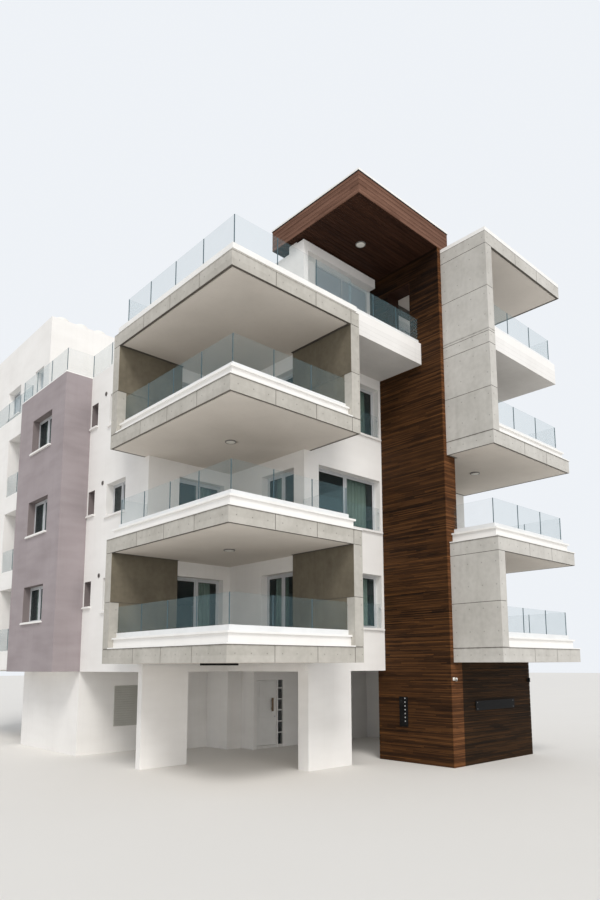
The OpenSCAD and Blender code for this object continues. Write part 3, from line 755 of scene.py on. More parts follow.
# The window glass is painted pale from the terrace up, as the lit room behind it
DARK_GLASS = Glazing("window_sheet", shade(40, 54, 56), 0.26, 0.5, TERRACE)
PANE_EDGE = Coat("pane_edge", shade(64, 86, 94), shade(76, 98, 106), 0.5)
ALUMINIUM = Coat("satin_aluminium", shade(206, 208, 210), shade(184, 186, 188), 0.34, 0.35)
COPING = Coat("white_coping", shade(244, 243, 240), shade(228, 225, 220), 0.42)
SHOE = Coat("white_shoe", shade(238, 239, 239), shade(220, 221, 220), 0.38, 0.1)
BLACK = Coat("black_enamel", shade(14, 14, 15), shade(25, 25, 26), 0.5, gloss=0.15)
SEAL = Coat("rubber_seal", shade(20, 21, 22), shade(34, 34, 34), 0.62)
PLASTIC = Coat("tank_plastic", shade(236, 234, 228), shade(214, 210, 200), 0.46)
LAMP_GREY = Coat("lamp_grey", shade(132, 130, 126), shade(112, 110, 108), 0.45, 0.2)
LOUVRE = Coat("louvre_grey", shade(186, 185, 178), shade(168, 167, 160), 0.5)
VENT = Coat("vent_plastic", shade(128, 123, 120), shade(104, 100, 98), 0.5)
STEEL = Brushed("pivot_steel", shade(150, 150, 152), shade(182, 182, 184))
BRASS = Brushed("pull_brass", shade(98, 82, 66), shade(130, 112, 94))
DOOR_PAINT = Coat("door_paint", shade(234, 233, 230), shade(218, 216, 212), 0.36)
CURTAIN = Weave("curtain_cloth", shade(204, 232, 216), shade(150, 182, 166))
OPAL = Diffuser()
TILES = Tiles()

SLOT_FINISH: dict[str, Finish] = {
    "concrete": LEFT_CONCRETE, "render_white": WHITE, "render_taupe": TAUPE,
    "timber": BOARDS, "balcony_glass": CLEAR, "window_glass": DARK_GLASS,
    "aluminium": ALUMINIUM, "coping": COPING, "dark_metal": BLACK,
    "floor_stone": TILES, "lamp": OPAL, "tank": PLASTIC, "steel": STEEL,
    "brass": BRASS, "door_paint": DOOR_PAINT,
}
NODE_FINISH: dict[str, Finish] = {
    "soffit_panels": SOFFIT_WHITE,
    "rail_shoes": SHOE, "terrace_slabs": PARAPET, "side_walls": SIDE_WHITE,
    "right_lower_box": RIGHT_CONCRETE, "right_upper_box": RIGHT_CONCRETE,
}


# Points closer than this become one, and flatter edges than this are shaded smooth
WELD = 1e-5
SHARP = math.radians(35)


class Workpiece:
    """A piece built up from bevelled blocks, rods and turned parts."""

    def __init__(self, name: str, finish: Finish, slot: str, body: str = "block") -> None:
        """Starts an empty piece.

        Args:
            name: its name.
            finish: its finish.
            slot: the record's slot of the piece; not used.
            body: the body that it rides on.
        """
        self.name = name
        self.finish = finish
        self.slot = slot
        self.body = body
        self.mesh = bmesh.new()

    def block(self, low: Point, high: Point, bevel: float = 0.0) -> None:
        """Adds a block with softened edges.

        Args:
            low: its lowest corner.
            high: its highest corner.
            bevel: width of the softened edges.
        """
        verts = bmesh.ops.create_cube(self.mesh, size=1.0)["verts"]
        size = Vector(high) - Vector(low)
        bmesh.ops.scale(self.mesh, vec=size, verts=verts)
        bmesh.ops.translate(self.mesh, vec=Vector(low) + size / 2, verts=verts)
        if bevel:
            edges = list(dict.fromkeys(edge for vert in verts for edge in vert.link_edges))
            bmesh.ops.bevel(self.mesh, geom=edges, offset=bevel, offset_type="OFFSET",
                            segments=1, profile=0.5, affect="EDGES", material=-1)

    def rod(self, start: Point, end: Point, radius: float,
            far_radius: float | None = None, sides: int = 20) -> None:
        """Adds a round bar or cone between two points.

        Args:
            start: centre of one end.
            end: centre of the other end.
            radius: radius at the start.
            far_radius: radius at the end, or None for the same.
            sides: number of sides.
        """
        run = Vector(end) - Vector(start)
        turn = run.to_track_quat("Z", "Y").to_matrix().to_4x4()
        place = Matrix.Translation((Vector(start) + Vector(end)) / 2) @ turn
        bmesh.ops.create_cone(
            self.mesh, cap_ends=True, cap_tris=False, segments=sides, radius1=radius,
            radius2=radius if far_radius is None else far_radius, depth=run.length,
            matrix=place)

    def turned(self, outline: list[Pair], centre: Point, axis: Vector,
               sides: int = 40) -> None:
        """Spins an outline of (radius, height) points about an axis.

        Args:
            outline: the points from foot to top.
            centre: where the axis starts.
            axis: its direction.
            sides: number of steps round.
        """
        turn = axis.to_track_quat("Z", "Y").to_matrix()
        verts = [self.mesh.verts.new(Vector(centre) + turn @ Vector((r, 0, h)))
                 for r, h in outline]
        edges = [self.mesh.edges.new(pair) for pair in zip(verts, verts[1:])]
        bmesh.ops.spin(self.mesh, geom=verts + edges, cent=Vector(centre),
                       axis=axis, angle=math.tau, steps=sides, use_merge=True)
        bmesh.ops.remove_doubles(self.mesh, verts=self.mesh.verts[:], dist=WELD)
        bmesh.ops.recalc_face_normals(self.mesh, faces=self.mesh.faces[:])

    def ring(self, side: Side, plane: float, span: Span, depth: Pair,
             width: float, bevel: float) -> None:
        """Adds a frame of four members in a wall.

        Args:
            side: the wall's side.
            plane: its outer face.
            span: from, to, bottom and top of the frame.
            depth: near and far face of the members.
            width: width of the members.
            bevel: width of their softened edges.
        """
        u0, u1, z0, z1 = span
        bars = ((u0, u0 + width, z0, z1), (u1 - width, u1, z0, z1),
                (u0 + width, u1 - width, z0, z0 + width),
                (u0 + width, u1 - width, z1 - width, z1))
        for bar in bars:
            self.block(*side.box(plane, bar, depth), bevel)

    def finished(self, *replaced: str, smooth: bool = False) -> bpy.types.Object:
        """Turns the piece into an object of the block.

        Args:
            replaced: the nodes it stands for.
            smooth: whether its faces are smoothed between sharp edges.

        Returns:
            The object.
        """
        bmesh.ops.translate(self.mesh, vec=-PLAN_CENTRE, verts=self.mesh.verts[:])
        data = bpy.data.meshes.new(self.name)
        self.mesh.to_mesh(data)
        self.mesh.free()
        if smooth:
            data.shade_smooth()
            data.set_sharp_from_angle(angle=SHARP)
        piece = bpy.data.objects.new(self.name, data)
        bpy.context.scene.collection.objects.link(piece)
        data.materials.append(self.finish.material())
        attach(piece, self.body)
        if replaced:
            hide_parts(*replaced)
        LOG.info("%s: %d faces", self.name, len(data.polygons))
        return piece


class Side(Enum):
    """Outer side of the block that a wall faces."""

    FRONT = "front"
    LEFT = "left"
    REAR = "rear"
    RIGHT = "right"

    def box(self, plane: float, span: Span, depth: Pair) -> Box:
        """Corners of a box given along a wall.

        Args:
            plane: the wall's outer face.
            span: from, to, bottom and top.
            depth: near and far face, inwards from the wall's face.

        Returns:
            The lowest and highest corners.
        """
        u0, u1, z0, z1 = span
        near, far = depth
        if self is Side.FRONT:
            return (u0, plane + near, z0), (u1, plane + far, z1)
        if self is Side.LEFT:
            return (plane + near, u0, z0), (plane + far, u1, z1)
        if self is Side.REAR:
            return (u0, plane - far, z0), (u1, plane - near, z1)
        return (plane - far, u0, z0), (plane - near, u1, z1)


@dataclass(frozen=True)
class Light:
    """A glazed opening in a wall, with its height above a level."""

    side: Side
    plane: float
    start: float
    end: float
    sill: float
    head: float
    sashes: int
    storeys: tuple[int, ...] = (1, 2, 3)
    fixed: bool = False


# Faces of the walls and of the fin in plan metres
BLOCK_Y, WALL_X1, FIN_X, FIN_X1, FIN_Y = 20.4, 12.45, 7.7, 8.25, -0.5
SIDE_X, FRONT_Y, BAY_X, RECESS_X, RECESS_Y, LOGGIA_X = 1.13, 2.02, 0.18, 4.2, 5.66, 2.0
PENT_Y = 2.4
WINDOWS = (
    Light(Side.FRONT, FRONT_Y, 4.8, 7.6, 1.07, 2.8, 2),
    Light(Side.LEFT, SIDE_X, 9.28, 9.76, 1.9, 2.77, 1),
    Light(Side.LEFT, SIDE_X, 7.11, 8.4, 1.68, 2.79, 2),
    Light(Side.LEFT, BAY_X, 10.95, 12.7, 1.47, 2.77, 2),
    Light(Side.RIGHT, WALL_X1, 5.2, 6.8, 1.07, 2.77, 2),
    Light(Side.RIGHT, WALL_X1, 9.6, 10.6, 1.47, 2.77, 1),
    Light(Side.RIGHT, WALL_X1, 13.8, 15.4, 1.07, 2.77, 2),
    Light(Side.REAR, BLOCK_Y, 3.4, 5.0, 1.07, 2.77, 2),
    Light(Side.REAR, BLOCK_Y, 6.7, 7.7, 1.47, 2.77, 1),
    Light(Side.REAR, BLOCK_Y, 9.4, 11.0, 1.07, 2.77, 2),
    Light(Side.LEFT, SIDE_X, 17.0, 18.48, 1.47, 2.77, 2, (4,)),
)
DOORS = (
    Light(Side.FRONT, RECESS_Y, 2.22, 3.95, 0.45, 2.69, 2),
    Light(Side.LEFT, RECESS_X, 2.48, 4.0, 0.45, 2.69, 2),
    Light(Side.FRONT, FRONT_Y, 8.8, 11.9, 0.45, 2.69, 3),
    Light(Side.LEFT, LOGGIA_X, 14.3, 15.9, 0.45, 2.69, 2),
    Light(Side.FRONT, PENT_Y - REVEAL, 5.05, 7.53, 0.45, 3.36, 2, (4,), True),
    Light(Side.FRONT, PENT_Y, 8.8, 11.9, 0.45, 2.98, 3, (4,)),
    Light(Side.LEFT, SIDE_X, 14.48, 15.38, 0.45, 2.77, 1, (4,)),
)


@dataclass
class Joinery:
    """Sliding sashes, seals, pulls and curtains of the windows and doors."""

    member: float = 0.06
    sash: float = 0.045
    sash_deep: float = 0.03
    sash_edge: float = 0.003
    tracks: Pair = (0.02, 0.004)
    play: float = 0.001
    seal: float = 0.008
    seal_depth: Pair = (0.006, 0.024)
    pull: float = 0.02
    pull_half: float = 0.09
    pull_inset: float = 0.012
    pull_edge: float = 0.004
    rail_behind: float = 0.09
    rail_half: float = 0.012
    rail_high: float = 0.02
    rail_lift: float = 0.06
    rail_past: float = 0.1
    cloth_drop: float = 0.2
    cloth_foot: float = 0.47
    cloth_end: float = 0.22
    least_rise: float = 1.0
    share: Pair = (0.26, 0.14)
    fold: float = 0.05
    fold_pitch: float = 0.16
    fold_steps: int = 8
    lights: tuple[Light, ...] = field(default=WINDOWS + DOORS)

    def panes(self, light: Light) -> list[Pair]:
        """Where the sashes of a light stand.

        Args:
            light: the glazed opening.

        Returns:
            Where each sash starts and ends along the wall.
        """
        step = (light.end - light.start - self.member) / light.sashes
        first = light.start + self.member
        return [(first + k * step, first + (k + 1) * step - self.member)
                for k in range(light.sashes)]

    def build(self) -> None:
        """Builds the sashes, seals, pulls and curtains of all lights."""
        sashes = Workpiece("window_sashes", ALUMINIUM, "aluminium")
        seals = Workpiece("window_seals", SEAL, "dark_metal")
        pulls = Workpiece("window_pulls", ALUMINIUM, "aluminium")
        play, sash = self.play, self.sash
        for light in self.lights:
            for storey in () if light.fixed else light.storeys:
                z0 = level(storey) + light.sill + self.member
                z1 = level(storey) + light.head - self.member
                mid = (z0 + z1) / 2
                for k, (u0, u1) in enumerate(self.panes(light)):
                    near = REVEAL + self.tracks[k % 2]
                    outer = (u0 + play, u1 - play, z0 + play, z1 - play)
                    sashes.ring(light.side, light.plane, outer,
                                (near, near + self.sash_deep), sash, self.sash_edge)
                    inner = (u0 + sash, u1 - sash, z0 + sash, z1 - sash)
                    deep = (near + self.seal_depth[0], near + self.seal_depth[1])
                    seals.ring(light.side, light.plane, inner, deep, self.seal, 0.0)
                    edge = u1 - self.pull_inset - self.pull
                    if k % 2:
                        edge = u0 + self.pull_inset
                    span = (edge, edge + self.pull, mid - self.pull_half,
                            mid + self.pull_half)
                    pulls.block(*light.side.box(light.plane, span,
                                                (near - self.pull_inset, near)),
                                self.pull_edge)
        sashes.finished()
        seals.finished()
        pulls.finished()
        self.hang()

    def hang(self) -> None:
        """Hangs a curtain behind each light, drawn part of the way."""
        rails = Workpiece("curtain_rails", ALUMINIUM, "aluminium")
        draws = Random(11)
        depth = WALL + self.rail_behind
        half = self.rail_half
        for n, light in enumerate(self.lights):
            if light.head - light.sill < self.least_rise or light.fixed:
                continue
            width = light.end - light.start
            for storey in light.storeys:
                top = level(storey) + light.head + self.rail_lift
                foot = level(storey) + max(light.sill - self.cloth_drop, self.cloth_foot)
                span = (light.start - self.rail_past, light.end + self.rail_past,
                        top, top + self.rail_high)
                rails.block(*light.side.box(light.plane, span, (depth - half, depth + half)),
                            self.sash_edge)
                share = self.share[0] + self.share[1] * draws.random()
                start = light.end - self.cloth_end - width * share
                name = f"curtain_{n + 1}_{storey}"
                self.cloth(name, light, depth, (start, start + width * share),
                                         (foot, top), draws.random())
        rails.finished()

    def cloth(self, name: str, light: Light, depth: float, run: Pair, rise: Pair,
              start: float) -> tuple[bpy.types.Object, Pair]:
        """One curtain in soft upright folds.

        Args:
            name: the piece's name.
            light: the window that it hangs behind.
            depth: how far it hangs behind the wall's face.
            run: where it starts and ends along the wall.
            rise: its foot and top.
            start: where in a fold it starts, from 0 to 1.

        Returns:
            The curtain and its flat size.
        """
        piece = Workpiece(name, CURTAIN, "render_white")
        folds = max(3, round((run[1] - run[0]) / self.fold_pitch))
        steps = folds * self.fold_steps
        grid = bmesh.ops.create_grid(piece.mesh, x_segments=steps, y_segments=4, size=0.5)
        for vert in grid["verts"]:
            along, up = vert.co.x + 0.5, vert.co.y + 0.5
            swing = math.sin((along * folds + start) * math.tau) * self.fold / 2
            swing *= 0.75 + 0.25 * math.sin(along * 9.0 + start * 5.0)
            here = depth + swing * (1.0 - 0.25 * up)
            u = run[0] + (run[1] - run[0]) * along
            low, _ = light.side.box(light.plane, (u, u, rise[0], rise[0]), (here, here))
            vert.co = Vector((low[0], low[1], rise[0] + (rise[1] - rise[0]) * up))
        height = rise[1] - rise[0]
        area = sum(face.calc_area() for face in piece.mesh.faces)
        cloth = piece.finished(smooth=True)
        return cloth, (area / height, height)


@dataclass
class Cladding:
    """Boarded fin, sign wall and canopy over their backing."""

    pitch: float = 0.14
    gap: float = 0.006
    least: float = 0.01
    thick: float = 0.022
    edge: float = 0.002
    play: float = 0.001
    front: float = FIN_Y
    foot_back: float = 2.32
    door: Pair = (0.66, 1.6)
    door_head: float = 15.45
    lining: float = 0.02
    sign_end: float = 12.15
    sign_back: float = -0.3
    sign_drop: float = 0.01
    roof: float = CANOPY
    roof_top: float = 16.87
    canopy: Pair = (4.01, 3.3)
    ply: float = 0.06
    fascia_rows: int = 5
    shadow_strip: Pair = (0.01, 0.025)

    def courses(self, low: float, high: float) -> list[Pair]:
        """Divides a stretch into boards.

        Args:
            low: where the stretch starts.
            high: where it ends.

        Returns:
            Foot and top of each board.
        """
        first = math.floor(low / self.pitch)
        rows = []
        for k in range(first, math.ceil(high / self.pitch)):
            foot, top = max(k * self.pitch, low), min((k + 1) * self.pitch - self.gap, high)
            if top - foot > self.least:
                rows.append((foot, top))
        return rows

    def build(self) -> None:
        """Builds the fin, the sign wall and the canopy."""
        self.fin()
        self.sign_wall()
        self.tray()

    def fin(self) -> None:
        """The fin: a backing, boards on its sides and front, a lined doorway."""
        core = Workpiece("fin_backing", BACKING, "timber")
        t, roof, head = self.thick, self.roof, self.door_head
        near, far = self.door
        x0, x1, y0 = FIN_X + t, FIN_X1 - t, self.front + t
        parts = [((x0, y0, 0.0), (x1, self.foot_back, WALL_BASE)),
                 ((x0, y0, WALL_BASE), (x1, FRONT_Y, TERRACE)),
                 ((x0, y0, TERRACE), (x1, near, roof)),
                 ((x0, far, TERRACE), (x1, PENT_Y, roof)),
                 ((x0, near, head), (x1, far, roof))]
        for low, high in parts:
            core.block(low, high)
        core.finished()
        boards = Workpiece("fin_boards", BOARDS, "timber")
        # The front boards take the lighter copy of the timber, painted as the light on that
        # face
        front = Workpiece("fin_front_boards", FRONT_LIT_BOARDS, "timber")
        stops = (0.0, WALL_BASE, TERRACE, head, roof)
        backs = (self.foot_back, FRONT_Y, PENT_Y, PENT_Y)
        for low, high, back in zip(stops, stops[1:], backs):
            runs = [(y0, near), (far, back)] if low == TERRACE else [(y0, back)]
            for foot, top in self.courses(low, high):
                front.block((FIN_X, self.front, foot), (FIN_X1, y0 - self.play, top),
                            self.edge)
                for start, end in runs:
                    boards.block((FIN_X, start, foot), (x0, end, top), self.edge)
                    boards.block((x1, start, foot), (FIN_X1, end, top), self.edge)
        boards.finished("timber_fin")
        front.finished()
        lining = Workpiece("fin_doorway_lining", SOFFIT, "timber")
        under = head - self.lining
        for y in (near, far - self.lining):
            lining.block((FIN_X, y, TERRACE), (FIN_X1, y + self.lining, under), self.edge)
        lining.block((FIN_X, near, under), (FIN_X1, far, head), self.edge)
        lining.finished()

    def sign_wall(self) -> None:
        """The boarded wall beside the foot of the fin."""
        face, end, back = self.front + self.thick, self.sign_end, self.sign_back
        side = end - self.thick
        core = Workpiece("sign_wall_backing", BACKING, "timber")
        core.block((FIN_X1, face, 0.0), (side, back, FIRST_LEVEL - self.sign_drop))
        core.finished()
        boards = Workpiece("sign_wall_boards", SIGN_BOARDS, "timber")
        for foot, head in self.courses(0.0, FIRST_LEVEL):
            boards.block((FIN_X1, self.front, foot), (end, face, head), self.edge)
            boards.block((side, face, foot), (end, back, head), self.edge)
        boards.finished("sign_wall")

    def tray(self) -> None:
        """The canopy: a backing, fascia boards, a dark strip for the shadow under its coping
        and a boarded soffit.
        """
        x0, y1 = self.canopy
        t, foot, top, y0 = self.thick, self.roof, self.roof_top, self.front
        left, right, near, far = x0 + t, FIN_X1 - t, y0 + t, y1 - t
        deck, in_left, in_right = foot + self.ply, x0 + self.ply, FIN_X1 - self.ply
        core = Workpiece("canopy_backing", BACKING, "timber")
        core.block((left, near, foot + t), (right, far, deck))
        core.block((left, near, deck), (in_left, far, top))
        core.block((in_right, near, deck), (right, far, top))
        core.block((in_left, near, deck), (in_right, near + 0.04, top))
        core.block((in_left, y1 - self.ply, deck), (in_right, far, top))
        core.finished()
        fascia = Workpiece("canopy_fascia", FASCIA, "timber")
        rise = (top - foot) / self.fascia_rows
        for k in range(self.fascia_rows):
            low = foot + k * rise
            high = low + rise - (self.gap if k < self.fascia_rows - 1 else 0.0)
            fascia.block((x0, y0, low), (FIN_X1, near, high), self.edge)
            fascia.block((x0, far, low), (FIN_X1, y1, high), self.edge)
            for x in (x0, right):
                fascia.block((x, near, low), (x + t, far, high), self.edge)
        fascia.finished("timber_canopy")
        # Dark strip round the top of the fascia, standing in for the shadow line under the
        # canopy's white coping
        shadow_strip = Workpiece("canopy_shadow_strip", BLACK, "dark_metal")
        out, low = self.shadow_strip[0], top - self.shadow_strip[1]
        for start, end in ((y0 - out, y0), (y1, y1 + out)):
            shadow_strip.block((x0 - out, start, low), (FIN_X1 + out, end, top))
        for start, end in ((x0 - out, x0), (FIN_X1, FIN_X1 + out)):
            shadow_strip.block((start, y0, low), (end, y1, top))
        shadow_strip.finished()
        soffit = Workpiece("canopy_soffit", SOFFIT, "timber")
        for start, end in self.courses(near, far):
            soffit.block((left, start, foot), (right, end, foot + t), self.edge)
        soffit.finished()


@dataclass
class Floors:
    """Tiled floors of the balconies and a terrace, and strips at their soffits."""

    low: float = 0.41
    high: float = 0.45
    edge: float = 0.302
    right_edge: float = 12.206
    right_near: float = -1.838
    left_far: float = 2.018
    play: float = 0.002
    strip: float = 0.003

    def build(self) -> None:
        """Lays the tiles on each balcony slab and closes the soffits."""
        tiles = Workpiece("balcony_tiles", TILES, "floor_stone")
        edge, far, back = self.edge, self.left_far, FIN_Y - self.play
        for storey in (1, 2, 3):
            z0, z1 = level(storey) + self.low, level(storey) + self.high
            right, rear, start = 4.148, 5.608, 8.172
            if storey == 2:
                right, rear, start = 4.10, 5.64, 8.142
            tiles.block((edge, edge, z0), (right, far, z1))
            tiles.block((edge, far, z0), (RECESS_X - self.play, rear, z1))
            tiles.block((start, self.right_near, z0), (self.right_edge, back, z1))
            tiles.block((FIN_X1 + self.play, back, z0),
                        (self.right_edge, FRONT_Y - self.play, z1))
        z0, z1 = level(4) + self.low, level(4) + self.high
        tiles.block((edge, edge, z0), (4.176, 5.636, z1))
        tiles.finished()
        self.soffit_strips()

    def soffit_strips(self) -> None:
        """Plaster strips that close the soffit's gap at the recess walls."""
        strips = Workpiece("soffit_wall_strips", SOFFIT_WHITE, "render_white")
        walled = ((2.2, 5.523, RECESS_X, RECESS_Y), (4.063, 2.47, RECESS_X, 5.523))
        free = ((1.043, 5.573, RECESS_X, RECESS_Y), (1.043, RECESS_Y, SIDE_X, 5.857),
                (4.113, 1.933, RECESS_X, 5.573), (RECESS_X, 1.933, 4.397, FRONT_Y))
        for storey, plan in ((2, walled), (3, free), (4, walled)):
            z = level(storey)
            for x0, y0, x1, y1 in plan:
                strips.block((x0, y0, z - self.strip), (x1, y1, z))
        strips.finished()


@dataclass
class RailGlass:
    """Seals in the upright joints of the glass rails, and the window guards."""

    frame: dict
    weld: float = 1e-4
    lap: float = 0.004
    proud: float = 0.0015
    reach: float = 0.02
    least_rise: float = 0.3
    ends: Pair = (0.08, 0.002)
    guard_foot: float = 0.05
    guard_rise: float = 0.76
    guard_play: float = 0.006
    guard_depth: Pair = (0.05, 0.066)
    clamp: float = 0.05
    clamp_depth: Pair = (0.04, 0.076)
    clamp_rise: Pair = (0.1, 0.16)

    def panes(self, node: str) -> list[Corners]:
        """Boxes of the panes of a carried-over node.

        Args:
            node: the node's name.

        Returns:
            The lowest and highest corner of each pane, in plan metres.
        """
        mesh = bmesh.new()
        mesh.from_mesh(self.frame["nodes"][node].data)
        bmesh.ops.remove_doubles(mesh, verts=mesh.verts[:], dist=self.weld)
        left, boxes = set(mesh.verts), []
        while left:
            queue = [left.pop()]
            low = high = queue[0].co + PLAN_CENTRE
            while queue:
                vert = queue.pop()
                place = vert.co + PLAN_CENTRE
                low = Vector(map(min, low, place))
                high = Vector(map(max, high, place))
                near = {edge.other_vert(vert) for edge in vert.link_edges} & left
                left -= near
                queue.extend(near)
            boxes.append((low, high))
        mesh.free()
        return sorted(boxes, key=lambda box: tuple(box[0]))

    def seam(self, one: Corners, two: Corners) -> Corners | None:
        """The joint between two panes, where they stand close together.

        Args:
            one: a pane's corners.
            two: another pane's corners.

        Returns:
            The joint's corners, or None.
        """
        low = Vector(map(max, one[0], two[0]))
        high = Vector(map(min, one[1], two[1]))
        gaps = [axis for axis in (0, 1) if low[axis] >= high[axis]]
        if len(gaps) != 1 or high.z - low.z < self.least_rise:
            return None
        gap = gaps[0]
        if low[gap] - high[gap] > self.reach or high[1 - gap] - low[1 - gap] > self.reach:
            return None
        low[gap], high[gap] = high[gap] - self.lap, low[gap] + self.lap
        low[1 - gap] -= self.proud
        high[1 - gap] += self.proud
        low.z += self.ends[0]
        high.z -= self.ends[1]
        return low, high

    def build(self) -> None:
        """Builds the seals of every rail and the guards of the front windows."""
        seals = Workpiece("rail_glass_seals", PANE_EDGE, "balcony_glass")
        for node in ("left_balcony_glass", "right_balcony_glass", "terrace_glass"):
            panes = self.panes(node)
            for k, one in enumerate(panes):
                for two in panes[k + 1:]:
                    seam = self.seam(one, two)
                    if seam:
                        seals.block(tuple(seam[0]), tuple(seam[1]), 0.001)
        seals.finished()
        guards = Workpiece("window_guards", CLEAR, "balcony_glass")
        clamps = Workpiece("guard_clamps", ALUMINIUM, "aluminium")
        light = WINDOWS[0]
        for storey in light.storeys:
            foot = level(storey) + light.sill + self.guard_foot
            top = foot + self.guard_rise
            span = (light.start + self.guard_play, light.end - self.guard_play, foot, top)
            guards.block(*light.side.box(light.plane, span, self.guard_depth), 0.002)
            for u in (light.start, light.end - self.clamp):
                for z in (foot + self.clamp_rise[0], top - self.clamp_rise[1]):
                    span = (u, u + self.clamp, z, z + self.clamp)
                    clamps.block(*light.side.box(light.plane, span, self.clamp_depth), 0.004)
        guards.finished()
        clamps.finished()


@dataclass
class RoofTanks:
    """Lying water tanks with domed ends, ribs, bands and two cradles each."""

    count: int = 3
    radius: float = 0.39
    length: float = 1.2
    first: float = SIDE_X + WALL + 0.4
    pitch: float = 0.84
    start: float = 14.53
    height: float = 17.68 - 0.39
    deck: float = 16.57
    dome: float = 0.12
    dome_steps: int = 6
    ribs: Pair = (0.3, 0.86)
    waist: float = 0.975
    cradles: Pair = (0.15, 0.97)
    cradle_half: float = 0.25
    cradle_deep: float = 0.08

    def shell(self) -> list[Pair]:
        """Draws half the outline of a tank.

        Returns:
            Its points, as radius and place along the tank.
        """
        quarter, r = math.pi / 2 / self.dome_steps, self.radius
        dome = [(r * math.sin(k * quarter), self.dome * (1 - math.cos(k * quarter)))
                for k in range(self.dome_steps + 1)]
        ribs = [(r * share, rib + along) for rib in self.ribs
                for share, along in ((1.0, 0.0), (self.waist, 0.01),
                                     (self.waist, 0.03), (1.0, 0.04))]
        return dome + ribs + [(wide, self.length - along) for wide, along in reversed(dome)]

    def build(self) -> None:
        """Builds the tanks in one piece, and their bands."""
        tanks = Workpiece("water_tanks", PLASTIC, "tank")
        bands = Workpiece("tank_bands", STEEL, "steel")
        shell, z, half = self.shell(), self.height, self.cradle_half
        for k in range(self.count):
            x = self.first + k * self.pitch
            tanks.turned(shell, (x, self.start, z), Vector((0, 1, 0)))
            for along in self.cradles:
                y = self.start + along
                tanks.block((x - half, y, self.deck),
                            (x + half, y + self.cradle_deep, z - 0.2), 0.006)
                bands.rod((x, y + 0.02, z), (x, y + 0.06, z), self.radius * 0.988, sides=40)
        tanks.finished("roof_tanks", smooth=True)
        bands.finished(smooth=True)


